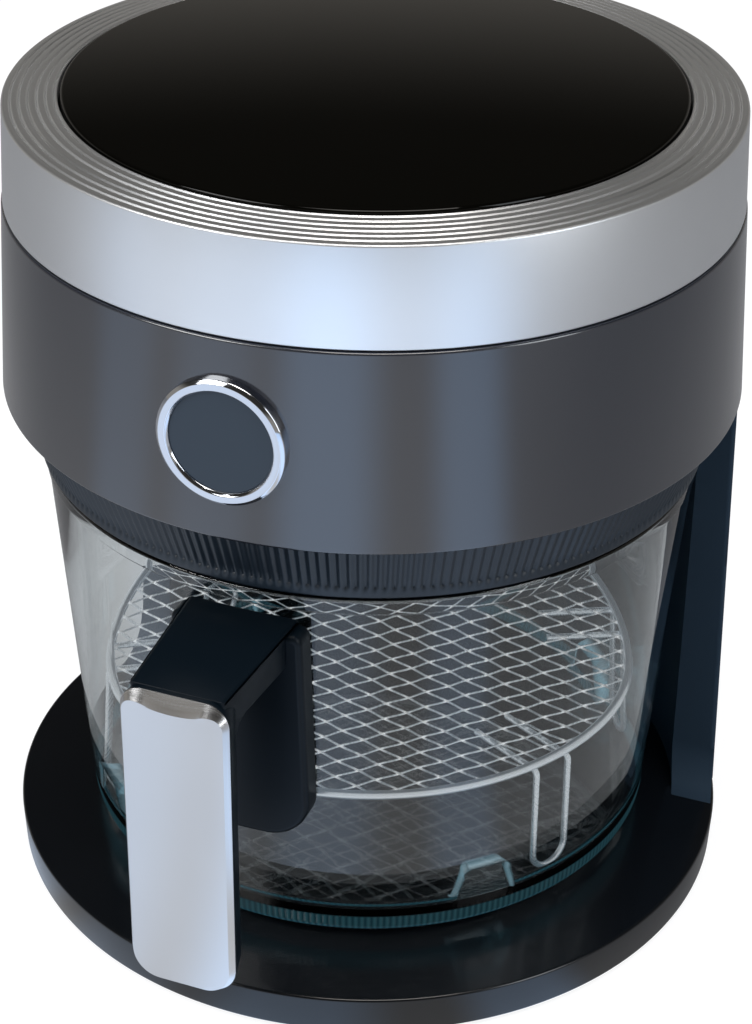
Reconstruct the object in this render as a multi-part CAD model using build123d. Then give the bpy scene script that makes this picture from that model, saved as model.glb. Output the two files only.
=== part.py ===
from build123d import *
from math import cos, degrees, radians, sin, sqrt
import os

# Glass air fryer, in millimetres. The origin is on the standing plane, on the bowl's axis.
# +Z is up and the handle is at the front, towards -Y.

# Clearances
running_gap = 0.3
seat_gap = 0.1
screw_gap = 0.05
press_gap = 0.02
hole_gap = 0.3

# Glass bowl
glass_rim_radius = 126.0
glass_taper = 11.6
glass_height = 160.2
glass_wall = 4.5
glass_floor = 8.2
glass_outer_corner = 5.0
glass_inner_corner = 7.0
bead_height = 7.0
bead_depth = 0.6
lug_width = 26.0
lug_height = 20.0
lug_depth = 14.4
lug_angle = 45.0

# Base
foot_height = 1.5
foot_radius = 9.0
foot_peg_radius = 4.0
foot_inset = 29.4
base_height = 16.0
base_draft = 0.7
base_wall = 2.5
base_edge_round = 1.2
base_screw_inset = 15.4
bottom_plate_thickness = 2.0
platform_height = 6.0
platform_inset = 10.4
platform_edge_round = 2.0

# Column behind the bowl
bowl_room = 1.2
column_foot_depth = 17.6
column_head_depth = 12.7
column_front_y = 45.0
column_wall = 2.5
column_edge_round = 1.6
column_foot_fillet = 16.0
cover_half_angle = 42.0
cover_bottom_margin = 14.0
cover_top_margin = 16.0
cover_screw_inset = 9.0
cover_screw_angle = 24.0

# Wire rack
rack_height = 53.5
rack_room = 6.9
rack_rim_wire = 3.5
mesh_thickness = 1.2
mesh_wire = 1.2
mesh_angle_a = 47.3
mesh_angle_b = -19.9
mesh_pitch_a = 10.8
mesh_pitch_b = 10.4
mesh_border = 1.5
leg_wire = 2.5
leg_offset = 0.25
leg_width = 22.0
leg_angle = 61.5
leg_reach = 33.0
leg_bend = 2.5
leg_lift = 1.0

# Handle
pad_half_width = 25.0
pad_height = 94.0
pad_drop = 2.0
pad_thickness = 9.5
pad_corner = 17.0
pad_top_corner = 4.0
pad_edge_round = 2.5
gasket_thickness = 0.8
gasket_inset = 3.0
arm_drop = 10.5
arm_height = 15.0
arm_width = 35.0
arm_root_width = 42.0
arm_round = 5.0
grip_reach = 58.5
grip_depth = 14.0
grip_width = 41.0
grip_length = 126.0
grip_corner = 12.0
cover_plate_width = 40.4
cover_plate_depth = 3.0
cover_plate_edge = 3.0
inner_plate_width = 24.0
inner_plate_thickness = 2.0
inner_plate_border = 9.0
handle_screw_low_inset = 22.5
handle_screw_high_inset = 25.5
arm_screw_drop = 9.5
arm_screw_spread = 11.0

# Head
ring_gap = 1.2
ring_height = 25.6
ring_overlap = 2.0
ring_ledge = 4.5
ring_wall = 3.0
ring_lip_height = 4.0
ring_lip_width = 14.8
seal_width = 4.5
seal_inset = 8.8
seal_depth = 1.5
housing_height = 73.8
housing_draft = 4.2
housing_wall = 3.0
housing_flange = 10.0
housing_edge_round = 1.0
seam_height = 0.5
top_ring_height = 36.4
top_ring_step = 0.4
top_ring_draft = 1.9
top_ring_band = 21.0
top_ring_wall = 2.5
top_ring_rise = 1.5
top_ring_edge_round = 0.9
groove_pitch = 4.0
groove_count = 5
groove_width = 0.9
groove_depth = 0.5
disc_proud = 1.0
disc_thickness = 2.8
disc_edge_round = 1.2
carrier_thickness = 3.0
floor_thickness = 2.5

# Badge on the front of the housing
badge_rise = 37.2
badge_radius = 23.5
badge_ring_width = 4.6
badge_ring_proud = 2.8
badge_ring_round = 1.2
badge_disc_proud = 1.3

# Heater and fan
liner_inset = 3.8
sheet_metal = 0.8
dish_inset = 1.5
dish_flange = 4.0
dish_draft = 5.5
dish_height = 33.0
dish_bend = 6.0
shield_flange = 3.5
shield_gap = 7.0
shaft_radius = 4.0
shaft_hole_gap = 4.0
motor_radius = 31.0
motor_height = 24.0
bracket_height = 6.0
fan_radius = 61.0
fan_height = 10.0
fan_blades = 8
bracket_strap = 12.0
bracket_reach = 24.0
bracket_sheet = 2.0
bracket_screw_inset = 4.5
fan_lift = 7.0
blade_thickness = 1.2
cooling_fan_radius = 44.0
cooling_fan_height = 7.0
element_radius = 3.2
element_inner_radius = 74.0
element_turn_pitch = 13.0
element_lift = 6.7
terminal_radius = 5.2
guard_thickness = 1.5
guard_bar = 2.0
guard_rings = 5
probe_radius = 2.0
probe_circle_radius = 66.0

# Electrics
board_thickness = 1.6
board_length = 96.0
board_width = 40.0
board_inset = 40.6
board_post_height = 8.0
board_post_radius = 3.0
control_board_radius = 60.0
control_board_drop = 6.0
display_size = (52.0, 24.0, 4.0)
driver_size = (18.0, 14.0, 5.0)
buzzer_size = (22.0, 14.0, 7.0)
transformer_size = (18.0, 16.0, 14.0)
capacitor_radius = 7.0
capacitor_height = 18.0
relay_size = (22.0, 16.0, 11.0)
part_sink = 0.3
gland_bore = 3.75
gland_wall = 0.95
gland_flange = 0.7
gland_proud = 2.6
switch_rise = 82.5
switch_width = 12.0
switch_depth = 7.0
plunger_radius = 2.2
harness_radius = 2.4
harness_x = 24.0
harness_bend = 9.0
harness_room = 3.4
terminal_height = 7.0

# Screws
screw_radius = 1.75
screw_head_radius = 3.5
screw_head_height = 1.6
screw_reach = 10.0
boss_radius = 4.5
boss_height = 14.0

# Levels worked out from the sizes above
base_bottom = foot_height
base_top = base_bottom + base_height
platform_top = base_top + platform_height
bowl_bottom = platform_top + running_gap
floor_top = bowl_bottom + glass_floor
rim_top = bowl_bottom + glass_height
rack_rim_height = floor_top + rack_height
leg_bottom = floor_top + leg_lift
arm_top = rim_top - arm_drop
pad_top = arm_top - pad_drop
pad_bottom = pad_top - pad_height
grip_bottom = arm_top - grip_length
handle_screw_low = pad_bottom + handle_screw_low_inset
handle_screw_high = pad_top - handle_screw_high_inset
arm_screw_height = arm_top - arm_screw_drop
ring_bottom = rim_top + ring_gap
housing_bottom = ring_bottom + ring_height
housing_top = housing_bottom + housing_height
badge_height = housing_bottom + badge_rise
top_ring_bottom = housing_top + seam_height
top_ring_top = top_ring_bottom + top_ring_height
disc_bottom = top_ring_top + top_ring_rise + disc_proud - disc_thickness
floor_top_face = housing_bottom + floor_thickness
dish_base = floor_top_face
dish_top = dish_base + dish_height
shield_top = dish_top + shield_gap
motor_bottom = shield_top + bracket_height
motor_top = motor_bottom + motor_height
element_height = dish_base + element_lift
gland_height = base_bottom + base_height / 2
switch_height = base_top + switch_rise

# Radii worked out from the sizes above
glass_bottom_radius = glass_rim_radius - glass_taper
lug_inner_radius = glass_bottom_radius - lug_depth
platform_radius = glass_bottom_radius - platform_inset
column_inner_radius = glass_rim_radius + bead_depth + bowl_room
base_top_radius = column_inner_radius + column_foot_depth
base_bottom_radius = base_top_radius - base_draft
foot_circle_radius = base_top_radius - foot_inset
rack_rim_outer_radius = glass_bottom_radius - rack_room
rack_rim_radius = rack_rim_outer_radius - rack_rim_wire / 2
leg_circle_radius = rack_rim_radius + leg_offset
grip_front = glass_rim_radius + grip_reach
housing_bottom_radius = column_inner_radius + column_head_depth
housing_top_radius = housing_bottom_radius - housing_draft
ring_top_radius = housing_bottom_radius - ring_ledge
ring_bottom_radius = glass_rim_radius + ring_overlap
ring_mouth_radius = ring_bottom_radius - ring_lip_width
seal_radius = ring_mouth_radius + seal_inset
top_ring_bottom_radius = housing_top_radius - top_ring_step
top_ring_top_radius = top_ring_bottom_radius - top_ring_draft
disc_radius = top_ring_top_radius - top_ring_band
ring_inner_edge = disc_radius + running_gap
liner_radius = ring_mouth_radius + liner_inset
dish_bottom_radius = liner_radius - dish_inset
dish_top_radius = dish_bottom_radius - dish_draft
shield_foot_radius = dish_bottom_radius + dish_flange + sheet_metal + running_gap
board_y = shield_foot_radius - board_inset
harness_shield_radius = shield_foot_radius + shield_flange + harness_room
gland_radius = gland_bore + gland_wall


def between(low_value, high_value, share):
    return low_value + (high_value - low_value) * share


def glass_radius(height):
    # outside of the glass wall
    return between(glass_bottom_radius, glass_rim_radius, (height - bowl_bottom) / glass_height)


def housing_radius(height):
    return between(housing_bottom_radius, housing_top_radius, (height - housing_bottom) / housing_height)


def column_radius(height):
    # outside of the column, from the base's edge to the housing's edge
    return between(base_top_radius, housing_bottom_radius, (height - base_top) / (housing_bottom - base_top))


def turned(points):
    # outline of (radius, height) points turned round Z; a third number rounds that corner
    outline = make_face(Polyline(*[point[:2] for point in points], close=True))
    for point in points:
        if len(point) == 3:
            corner = outline.vertices().sort_by_distance((point[0], point[1], 0))[0]
            outline = fillet(corner, point[2])
    return revolve(Plane.XZ * outline, Axis.Z)


def disc(radius, low, high):
    return Pos(0, 0, low) * Cylinder(radius, high - low, align=(Align.CENTER, Align.CENTER, Align.MIN))


def tube(outer, inner, low, high):
    return disc(outer, low, high) - disc(inner, low - 1, high + 1)


def cone(low_radius, high_radius, low, high):
    return turned([(0, low), (low_radius, low), (high_radius, high), (0, high)])


def block(x_low, x_high, y_low, y_high, z_low, z_high):
    size = (x_high - x_low, y_high - y_low, z_high - z_low)
    return Pos(x_low, y_low, z_low) * Box(*size, align=(Align.MIN, Align.MIN, Align.MIN))


def peg_y(radius, x, z, y_low, y_high):
    # round bar along Y
    bar = Cylinder(radius, y_high - y_low, align=(Align.CENTER, Align.CENTER, Align.MIN))
    return Pos(x, y_low, z) * Rot(-90, 0, 0) * bar


def peg_out(radius, angle, z, r_low, r_high):
    # round bar that points outwards; the angle is counted from the back, +Y
    return Rot(0, 0, -angle) * peg_y(radius, 0, z, r_low, r_high)


def around(shape, angles):
    return [Rot(0, 0, angle) * shape for angle in angles]


def screw_up(x, y, head_low, tip):
    # screw along Z with its head at the bottom
    head = disc(screw_head_radius, head_low, head_low + screw_head_height)
    return Pos(x, y, 0) * (head + disc(screw_radius, head_low, tip))


def screw_down(x, y, head_high, tip):
    head = disc(screw_head_radius, head_high - screw_head_height, head_high)
    return Pos(x, y, 0) * (head + disc(screw_radius, tip, head_high))


def polar(radius, angle):
    # the angle is counted from the front, -Y, towards +X
    return radius * sin(radians(angle)), -radius * cos(radians(angle))


def save(name, shape):
    solids = list(shape) if isinstance(shape, list) else [shape]
    whole = solids[0] if len(solids) == 1 else Compound(children=[s for part in solids for s in part.solids()])
    whole.label = name
    export_step(whole, f"parts/{name}.step")


# Places of the screws
base_screw_spots = [polar(base_top_radius - base_screw_inset, angle) for angle in (30, 100, 260, 330)]
column_screw_angles = (-50, -18, 32, 50)
housing_screw_angles = (45, 95, 265, 315)
housing_screw_circle = ring_top_radius - ring_wall - screw_head_radius - 3 * running_gap


# Base
def base_shell():
    shell = turned([
        (0, base_bottom), (base_bottom_radius, base_bottom, base_edge_round),
        (base_top_radius, base_top, base_edge_round), (platform_radius, base_top, base_edge_round),
        (platform_radius, platform_top, platform_edge_round), (0, platform_top),
    ])
    hollow = disc(base_bottom_radius - base_wall, base_bottom - 1, base_top - base_wall)
    hollow += disc(platform_radius - base_wall, base_bottom - 1, platform_top - base_wall)
    shell -= hollow
    boss_low = base_bottom + bottom_plate_thickness
    for x, y in base_screw_spots:
        shell += Pos(x, y, 0) * disc(boss_radius, boss_low, base_top - base_wall / 2)
        shell -= Pos(x, y, 0) * disc(screw_radius + screw_gap, boss_low - 1, base_top - base_wall)
    for x, y in column_screw_places():
        shell -= Pos(x, y, 0) * disc(screw_radius + hole_gap, base_top - base_wall - 1, base_top + 1)
    shell -= harness_hole(base_top - base_wall - 1, base_top + 1)
    shell -= peg_y(gland_radius + seat_gap, 0, gland_height, base_top_radius - 3 * base_wall,
                    base_top_radius + base_wall)
    return shell


def bottom_plate_radius():
    return base_bottom_radius - base_wall - running_gap


def base_bottom_plate():
    plate = disc(bottom_plate_radius(), base_bottom, base_bottom + bottom_plate_thickness)
    for x, y in foot_spots():
        plate -= Pos(x, y, 0) * disc(foot_peg_radius + screw_gap, 0, base_top)
    for x, y in base_screw_spots:
        plate -= Pos(x, y, 0) * disc(screw_radius + hole_gap, 0, base_top)
        plate -= Pos(x, y, 0) * disc(screw_head_radius + 0.2, 0, base_bottom + screw_head_height)
    return plate


def foot_spots():
    return [polar(foot_circle_radius, angle) for angle in (45, 135, 225, 315)]


def rubber_feet():
    peg_top = base_bottom + bottom_plate_thickness + 1.5
    foot = disc(foot_radius, 0, base_bottom) + disc(foot_peg_radius, 0, peg_top)
    return [Pos(x, y, 0) * foot for x, y in foot_spots()]


def base_screws():
    return [screw_up(x, y, base_bottom, base_top - base_wall - 1) for x, y in base_screw_spots]


# Column
def column_ring(outer_drop, inner_radius, front_y, low, high):
    # half ring between the column's cone, moved in by outer_drop, and a cylinder
    ring = cone(column_radius(low) - outer_drop, column_radius(high) - outer_drop, low, high)
    ring -= disc(inner_radius, low - 1, high + 1)
    return ring & block(-200, 200, front_y, 200, low - 1, high + 1)


def column_screw_places():
    return [(column_boss_radius() * sin(radians(a)), column_boss_radius() * cos(radians(a)))
            for a in column_screw_angles]


def column_boss_radius():
    return housing_bottom_radius - housing_wall - screw_head_radius - running_gap - seat_gap


def harness_radius_out():
    return column_inner_radius + column_wall + harness_radius + 1.0


def harness_y():
    return sqrt(harness_radius_out() ** 2 - harness_x ** 2)


def harness_hole(low, high):
    return Pos(harness_x, harness_y(), 0) * disc(harness_radius + 1.0, low, high)


def cover_levels():
    return base_top + cover_bottom_margin, housing_bottom - cover_top_margin


def cover_blank(margin, thickness):
    # curved panel at the back of the column, all round larger by the margin
    low, high = cover_levels()
    half_angle = cover_half_angle + degrees(margin / column_inner_radius)
    panel = column_ring(0, column_radius(low) - 20, 0, low - margin, high + margin)
    panel -= cone(column_radius(low - margin) - thickness, column_radius(high + margin) - thickness,
                  low - margin - 0.01, high + margin + 0.01)
    reach = 220
    wedge = make_face(Polyline((0, 0), (reach * sin(radians(-half_angle)), reach * cos(radians(half_angle))),
                               (0, reach * 1.5),
                               (reach * sin(radians(half_angle)), reach * cos(radians(half_angle))), close=True))
    return panel & Pos(0, 0, low - 5) * extrude(wedge, high - low + 10)


def column_shell():
    shell = column_ring(0, column_inner_radius, column_front_y, base_top, housing_bottom)
    shell = fillet(column_front_edges(shell), column_edge_round)
    foot = block(-160, 160, column_front_y - column_foot_fillet, column_front_y + 1,
                 base_top, base_top + column_foot_fillet)
    foot -= Pos(0, column_front_y - column_foot_fillet, base_top + column_foot_fillet) * Rot(0, 90, 0) * \
        Cylinder(column_foot_fillet, 400)
    ring_low = cone(base_top_radius - base_edge_round, column_radius(base_top + column_foot_fillet) - 0.5,
                    base_top, base_top + column_foot_fillet)
    ring_low -= disc(column_inner_radius, 0, housing_bottom)
    shell += foot & ring_low
    hollow = column_ring(column_wall, column_inner_radius + column_wall, column_front_y + column_wall,
                         base_top - 1, housing_bottom + 1)
    shell -= hollow
    bosses = column_bosses() + cover_bosses()
    inside = column_ring(column_wall / 2, column_inner_radius + column_wall / 2, column_front_y + 1,
                         base_top, housing_bottom)
    for boss in bosses:
        shell += boss & inside
    shell -= cover_blank(running_gap, column_wall + 1.0)
    for x, y in column_screw_places():
        shell -= Pos(x, y, 0) * disc(screw_radius + screw_gap, base_top - 1, base_top + screw_reach + 2)
        shell -= Pos(x, y, 0) * disc(screw_radius + screw_gap, housing_bottom - screw_reach - 2,
                                     housing_bottom + 1)
    for angle, height in cover_screw_spots():
        shell -= peg_out(screw_radius + screw_gap, angle, height, column_inner_radius + column_wall + 1, 200)
    shell -= peg_y(plunger_radius + running_gap, 0, switch_height, column_inner_radius - 5,
                   column_inner_radius + column_wall + 1)
    return shell


def column_front_edges(shell):
    # the two outer upright edges, where the end faces meet the cone
    middle = (base_top + column_foot_fillet + housing_bottom) / 2
    reach = sqrt(column_radius(middle) ** 2 - column_front_y ** 2)
    edges = shell.edges()
    return [edges.sort_by_distance((side * reach, column_front_y, middle))[0] for side in (-1, 1)]


def column_bosses():
    low = [Pos(x, y, 0) * disc(boss_radius, base_top, base_top + boss_height) for x, y in column_screw_places()]
    high = [Pos(x, y, 0) * disc(boss_radius, housing_bottom - boss_height, housing_bottom)
            for x, y in column_screw_places()]
    return low + high


def cover_screw_spots():
    low, high = cover_levels()
    return [(angle, height) for angle in (-cover_screw_angle, cover_screw_angle)
            for height in (low + cover_screw_inset, high - cover_screw_inset)]


def cover_bosses():
    bosses = []
    for angle, height in cover_screw_spots():
        reach = column_radius(height) - column_wall - 1.0 - running_gap
        bosses.append(peg_out(boss_radius, angle, height, column_inner_radius + 1, reach))
    return bosses


def column_back_cover():
    cover = cover_blank(0, column_wall)
    for angle, height in cover_screw_spots():
        cover -= peg_out(screw_radius + hole_gap, angle, height, column_inner_radius, 200)
        recess_floor = column_radius(height) - screw_head_height
        cover -= peg_out(screw_head_radius + 0.2, angle, height, recess_floor, 200)
    return cover


def cover_screws():
    screws = []
    for angle, height in cover_screw_spots():
        outside = column_radius(height) - 0.2
        head = peg_out(screw_head_radius, angle, height, outside - screw_head_height + 0.3, outside)
        screws.append(head + peg_out(screw_radius, angle, height, column_inner_radius + column_wall + 1.5,
                                     outside - 0.1))
    return screws


def column_screws():
    low = base_top - base_wall - screw_head_height
    up = [screw_up(x, y, low, base_top + screw_reach) for x, y in column_screw_places()]
    high = floor_top_face + screw_head_height
    down = [screw_down(x, y, high, housing_bottom - screw_reach) for x, y in column_screw_places()]
    return up + down


# Cord inlet, safety switch and wiring
def cord_gland():
    inner_wall = base_bottom_radius - base_wall - 2 * running_gap
    gland = peg_y(gland_radius, 0, gland_height, inner_wall - 4, base_top_radius + gland_proud)
    gland += peg_y(gland_radius + gland_flange, 0, gland_height, inner_wall - 4, inner_wall - 0.5)
    return gland - peg_y(gland_bore, 0, gland_height, inner_wall - 10, base_top_radius + gland_proud + 10)


def terminal_block():
    x, y = harness_x, harness_y()
    low = base_bottom + bottom_plate_thickness
    top = low + terminal_height
    body = block(x - 9, x + 9, y - 7, y + 4.5, low, top)
    return body - Pos(x, y, 0) * disc(harness_radius + seat_gap, top - 2.0, top + 1)


def wiring_harness():
    # up the column, round the outside of the heat shield and on to the power board
    low = base_bottom + bottom_plate_thickness + terminal_height - 2.0 + seat_gap
    high = shield_top + board_post_height + board_thickness + harness_radius + seat_gap
    inside_y = sqrt(harness_shield_radius ** 2 - harness_x ** 2)
    path = FilletPolyline((harness_x, harness_y(), low), (harness_x, harness_y(), floor_top_face + 3),
                          (harness_x, inside_y, dish_top), (harness_x, inside_y, high),
                          (harness_x, board_y + board_width / 2 - 8, high), radius=harness_bend)
    start = Plane(origin=(harness_x, harness_y(), low), z_dir=(0, 0, 1))
    return sweep(start * Circle(harness_radius), path)


def switch_housing():
    low_y = sqrt((column_inner_radius + column_wall) ** 2 - (switch_width / 2) ** 2) + running_gap
    low_y = max(low_y, column_inner_radius + column_wall + 0.1)
    body = block(-switch_width / 2, switch_width / 2, low_y, low_y + switch_depth,
                 switch_height - 8, switch_height + 8)
    return body - peg_y(plunger_radius + running_gap, 0, switch_height, low_y - 1, low_y + switch_depth - 1)


def switch_plunger():
    tip = glass_radius(switch_height + plunger_radius) + running_gap
    tail = column_inner_radius + column_wall + 4.5
    plunger = peg_y(plunger_radius, 0, switch_height, tip, tail)
    return plunger


# Glass bowl
def glass_bowl():
    inner_rim = glass_rim_radius - glass_wall
    bead_low = rim_top - bead_height
    bowl = turned([
        (0, bowl_bottom), (glass_bottom_radius, bowl_bottom, glass_outer_corner),
        (glass_radius(bead_low), bead_low), (glass_radius(bead_low) + bead_depth, bead_low + bead_depth),
        (glass_rim_radius + bead_depth, rim_top, 2 * bead_depth), (inner_rim, rim_top, 2 * bead_depth),
        (glass_radius(floor_top) - glass_wall, floor_top, glass_inner_corner), (0, floor_top),
    ])
    for angle in (lug_angle, 180 - lug_angle, 180 + lug_angle, 360 - lug_angle):
        bowl += Rot(0, 0, angle) * lug()
    for height in (handle_screw_low, handle_screw_high):
        bowl -= peg_y(screw_radius + 1.2, 0, height, -200, 0)
    return bowl


def lug():
    # moulded arch in the bottom corner, standing at the front before it is turned
    half = lug_width / 2
    straight = lug_height - half
    outer = glass_radius(floor_top) - glass_wall / 2
    base = floor_top - 1
    arch = make_face([
        Line((-half, base), (half, base)), Line((half, base), (half, floor_top + straight)),
        ThreePointArc((half, floor_top + straight), (0, floor_top + lug_height), (-half, floor_top + straight)),
        Line((-half, floor_top + straight), (-half, base)),
    ])
    depth = outer - lug_inner_radius
    return extrude(Plane((0, -lug_inner_radius, 0), x_dir=(1, 0, 0), z_dir=(0, -1, 0)) * arch, depth)


# Wire rack
def rack_rim():
    return Pos(0, 0, rack_rim_height) * Torus(rack_rim_radius, rack_rim_wire / 2)


def mesh_radius():
    return rack_rim_radius - rack_rim_wire / 2 - press_gap


def rack_mesh():
    # one plate with diamond gaps between the two families of wires
    angle_a, angle_b = radians(mesh_angle_a), radians(mesh_angle_b)
    slant = abs(sin(angle_a - angle_b))
    along_a = Vector(cos(angle_a), sin(angle_a)) * (mesh_pitch_b / slant)
    along_b = Vector(cos(angle_b), sin(angle_b)) * (mesh_pitch_a / slant)
    open_a = 1 - mesh_wire / mesh_pitch_b
    open_b = 1 - mesh_wire / mesh_pitch_a
    limit = mesh_radius() - mesh_border
    steps = int(2 * limit / min(mesh_pitch_a, mesh_pitch_b)) + 2
    gaps = []
    for i in range(-steps, steps + 1):
        for j in range(-steps, steps + 1):
            centre = along_a * i + along_b * j
            corners = [centre + along_a * (open_a * s / 2) + along_b * (open_b * t / 2)
                       for s, t in ((-1, -1), (1, -1), (1, 1), (-1, 1))]
            if max(corner.length for corner in corners) < limit:
                gaps.append(Wire.make_polygon([(c.X, c.Y, 0) for c in corners], close=True))
    plate = Face(Wire.make_circle(mesh_radius()), gaps)
    low = rack_rim_height - mesh_thickness / 2
    return Pos(0, 0, low) * extrude(plate, mesh_thickness, dir=(0, 0, 1))


def rack_leg():
    # one wire hoop, standing at the front before it is turned
    top = rack_rim_height - (rack_rim_wire + leg_wire) / 2 + seat_gap
    low = leg_bottom + leg_wire / 2
    half = leg_width / 2
    out, back = -leg_circle_radius, -leg_circle_radius + leg_reach
    path = FilletPolyline((-half, back, top), (-half, out, top), (-half, out, low), (half, out, low),
                          (half, out, top), (half, back, top), radius=leg_bend)
    start = Plane(origin=(-half, back, top), z_dir=(0, -1, 0))
    return sweep(start * Circle(leg_wire / 2), path)


def rack_legs():
    return around(rack_leg(), (leg_angle, 180 - leg_angle, 180 + leg_angle, 360 - leg_angle))


# Handle
def glass_cone(offset, low, high):
    # solid cone that runs at one distance from the glass
    return cone(glass_radius(low) + offset, glass_radius(high) + offset, low, high)


def pad_outline(half_width, low, high, corner, top_corner):
    face = make_face(Polyline((-half_width, low), (half_width, low), (half_width, high), (-half_width, high),
                              close=True))
    face = fillet(face.vertices().sort_by(Axis.Y)[:2], corner)
    face = fillet(face.vertices().sort_by(Axis.Y)[-2:], top_corner)
    return extrude(Plane((0, 0, 0), x_dir=(1, 0, 0), z_dir=(0, -1, 0)) * face, 200)


def handle_pad():
    front = pad_outline(pad_half_width, pad_bottom, pad_top, pad_corner, pad_top_corner)
    pad = front & glass_cone(pad_thickness, pad_bottom - 5, pad_top + 5)
    face = pad.faces().filter_by(GeomType.CONE).sort_by(Axis.Y)[0]
    pad = fillet(face.edges(), pad_edge_round)
    pad -= glass_cone(gasket_thickness + 2 * seat_gap, pad_bottom - 6, pad_top + 6)
    for height in (handle_screw_low, handle_screw_high):
        pad -= peg_y(screw_radius + screw_gap, 0, height, -glass_radius(height) - pad_thickness + 1.5, 0)
    for x in (-arm_screw_spread, arm_screw_spread):
        pad -= peg_y(screw_radius + hole_gap, x, arm_screw_height, -200, 0)
        pad -= peg_y(screw_head_radius + 0.3, x, arm_screw_height, arm_screw_seat(), 0)
    return pad


def arm_screw_seat():
    return -(glass_radius(arm_screw_height) + pad_thickness - 4.0)


def handle_gasket():
    front = pad_outline(pad_half_width - gasket_inset, pad_bottom + gasket_inset,
                        arm_screw_height - screw_head_radius - gasket_inset, pad_corner - gasket_inset,
                        gasket_inset)
    shell = glass_cone(gasket_thickness + seat_gap, pad_bottom - 5, pad_top + 5)
    shell -= glass_cone(seat_gap, pad_bottom - 6, pad_top + 6)
    gasket = front & shell
    for height in (handle_screw_low, handle_screw_high):
        gasket -= peg_y(screw_radius + hole_gap, 0, height, -200, 0)
    return gasket


def handle_body():
    front = -(grip_front - cover_plate_depth)
    back = -(grip_front - grip_depth)
    inner = -(glass_radius(pad_top) - 6)
    low_arm = arm_top - arm_height
    side = make_face(Polyline((inner, low_arm), (back, low_arm), (back, grip_bottom), (front, grip_bottom),
                              (front, arm_top), (inner, arm_top), close=True))
    bend = [v for v in side.vertices() if abs(v.X - back) < 0.01 and abs(v.Y - low_arm) < 0.01]
    side = fillet(bend, grip_corner - 4)
    shoulder = [v for v in side.vertices() if abs(v.X - front) < 0.01 and abs(v.Y - arm_top) < 0.01]
    side = fillet(shoulder, arm_round)
    foot = [v for v in side.vertices() if abs(v.X - back) < 0.01 and abs(v.Y - grip_bottom) < 0.01]
    side = fillet(foot, arm_round)
    across = Plane((-grip_width / 2, 0, 0), x_dir=(0, 1, 0), z_dir=(1, 0, 0))
    body = extrude(across * side, grip_width)
    face = grip_face(grip_width / 2, grip_bottom, arm_top, grip_corner)
    half_plan = [(arm_root_width / 2, 0), (arm_root_width / 2, -glass_rim_radius), (arm_width / 2, back),
                 (grip_width / 2, front), (grip_width / 2, front - 50)]
    plan = make_face(Polyline(*[(-x, y) for x, y in half_plan], *half_plan[::-1], close=True))
    body = body & face & extrude(plan, 300)
    body -= glass_cone(pad_thickness + seat_gap, pad_bottom, pad_top + seat_gap)
    body -= glass_cone(3 * seat_gap, pad_top, arm_top + 5)
    for x in (-arm_screw_spread, arm_screw_spread):
        body -= peg_y(screw_radius + screw_gap, x, arm_screw_height, back - 4, 0)
    return body


def grip_face(half_width, low, high, corner):
    face = make_face(Polyline((-half_width, low), (half_width, low), (half_width, high), (-half_width, high),
                              close=True))
    face = fillet(face.vertices().sort_by(Axis.Y)[:2], corner)
    face = fillet(face.vertices().sort_by(Axis.Y)[-2:], corner - 3)
    return extrude(Plane((0, 0, 0), x_dir=(1, 0, 0), z_dir=(0, -1, 0)) * face, 300)


def handle_cover():
    edge = (grip_width - cover_plate_width) / 2
    low = grip_bottom + edge
    high = arm_top - edge
    back = -(grip_front - cover_plate_depth) - 0.02
    plate = grip_face(cover_plate_width / 2, low, high, grip_corner - edge / 2)
    plate = plate & block(-60, 60, -grip_front, back, 0, 300)
    rim = plate.faces().sort_by(Axis.Y)[0].edges()
    return chamfer(rim, cover_plate_edge * 0.5, cover_plate_edge)


def handle_inner_plate():
    front = pad_outline(inner_plate_width / 2, handle_screw_low - inner_plate_border,
                        handle_screw_high + inner_plate_border, inner_plate_width / 4,
                        inner_plate_width / 4)
    shell = glass_cone(-glass_wall - seat_gap, pad_bottom - 5, pad_top + 5)
    shell -= glass_cone(-glass_wall - seat_gap - inner_plate_thickness, pad_bottom - 6, pad_top + 6)
    plate = front & shell
    for height in (handle_screw_low, handle_screw_high):
        plate -= peg_y(screw_radius + hole_gap, 0, height, -200, 0)
    return plate


def handle_screws():
    screws = []
    for height in (handle_screw_low, handle_screw_high):
        high = height + screw_head_radius
        seat = -(glass_radius(high) - glass_wall - seat_gap - inner_plate_thickness) + 0.7
        shank = peg_y(screw_radius, 0, height, -glass_radius(height) - pad_thickness + 3, seat + 0.5)
        screws.append(shank + peg_y(screw_head_radius, 0, height, seat, seat + screw_head_height))
    return screws


def arm_screws():
    screws = []
    for x in (-arm_screw_spread, arm_screw_spread):
        seat = arm_screw_seat()
        shank = peg_y(screw_radius, x, arm_screw_height, -(grip_front - grip_depth) - 2, seat + 0.5)
        screws.append(shank + peg_y(screw_head_radius, x, arm_screw_height, seat, seat + screw_head_height))
    return screws


# Head
def lower_ring():
    lip = ring_bottom + ring_lip_height
    ring = turned([
        (ring_mouth_radius, ring_bottom), (ring_bottom_radius, ring_bottom, 1.0),
        (ring_bottom_radius, lip), (ring_top_radius, housing_bottom),
        (ring_top_radius - ring_wall, housing_bottom),
        (ring_bottom_radius - ring_wall, lip), (ring_bottom_radius - ring_wall, ring_bottom + ring_wall),
        (ring_mouth_radius, ring_bottom + ring_wall),
    ])
    ring -= tube(seal_radius + seal_width / 2 + seat_gap, seal_radius - seal_width / 2 - seat_gap,
                 ring_bottom - 1, ring_bottom + seal_depth)
    behind = block(-200, 200, column_front_y - running_gap, 200, ring_bottom - 1, housing_bottom + 1)
    behind -= disc(column_inner_radius - running_gap, 0, 300)
    return ring - behind


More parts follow.
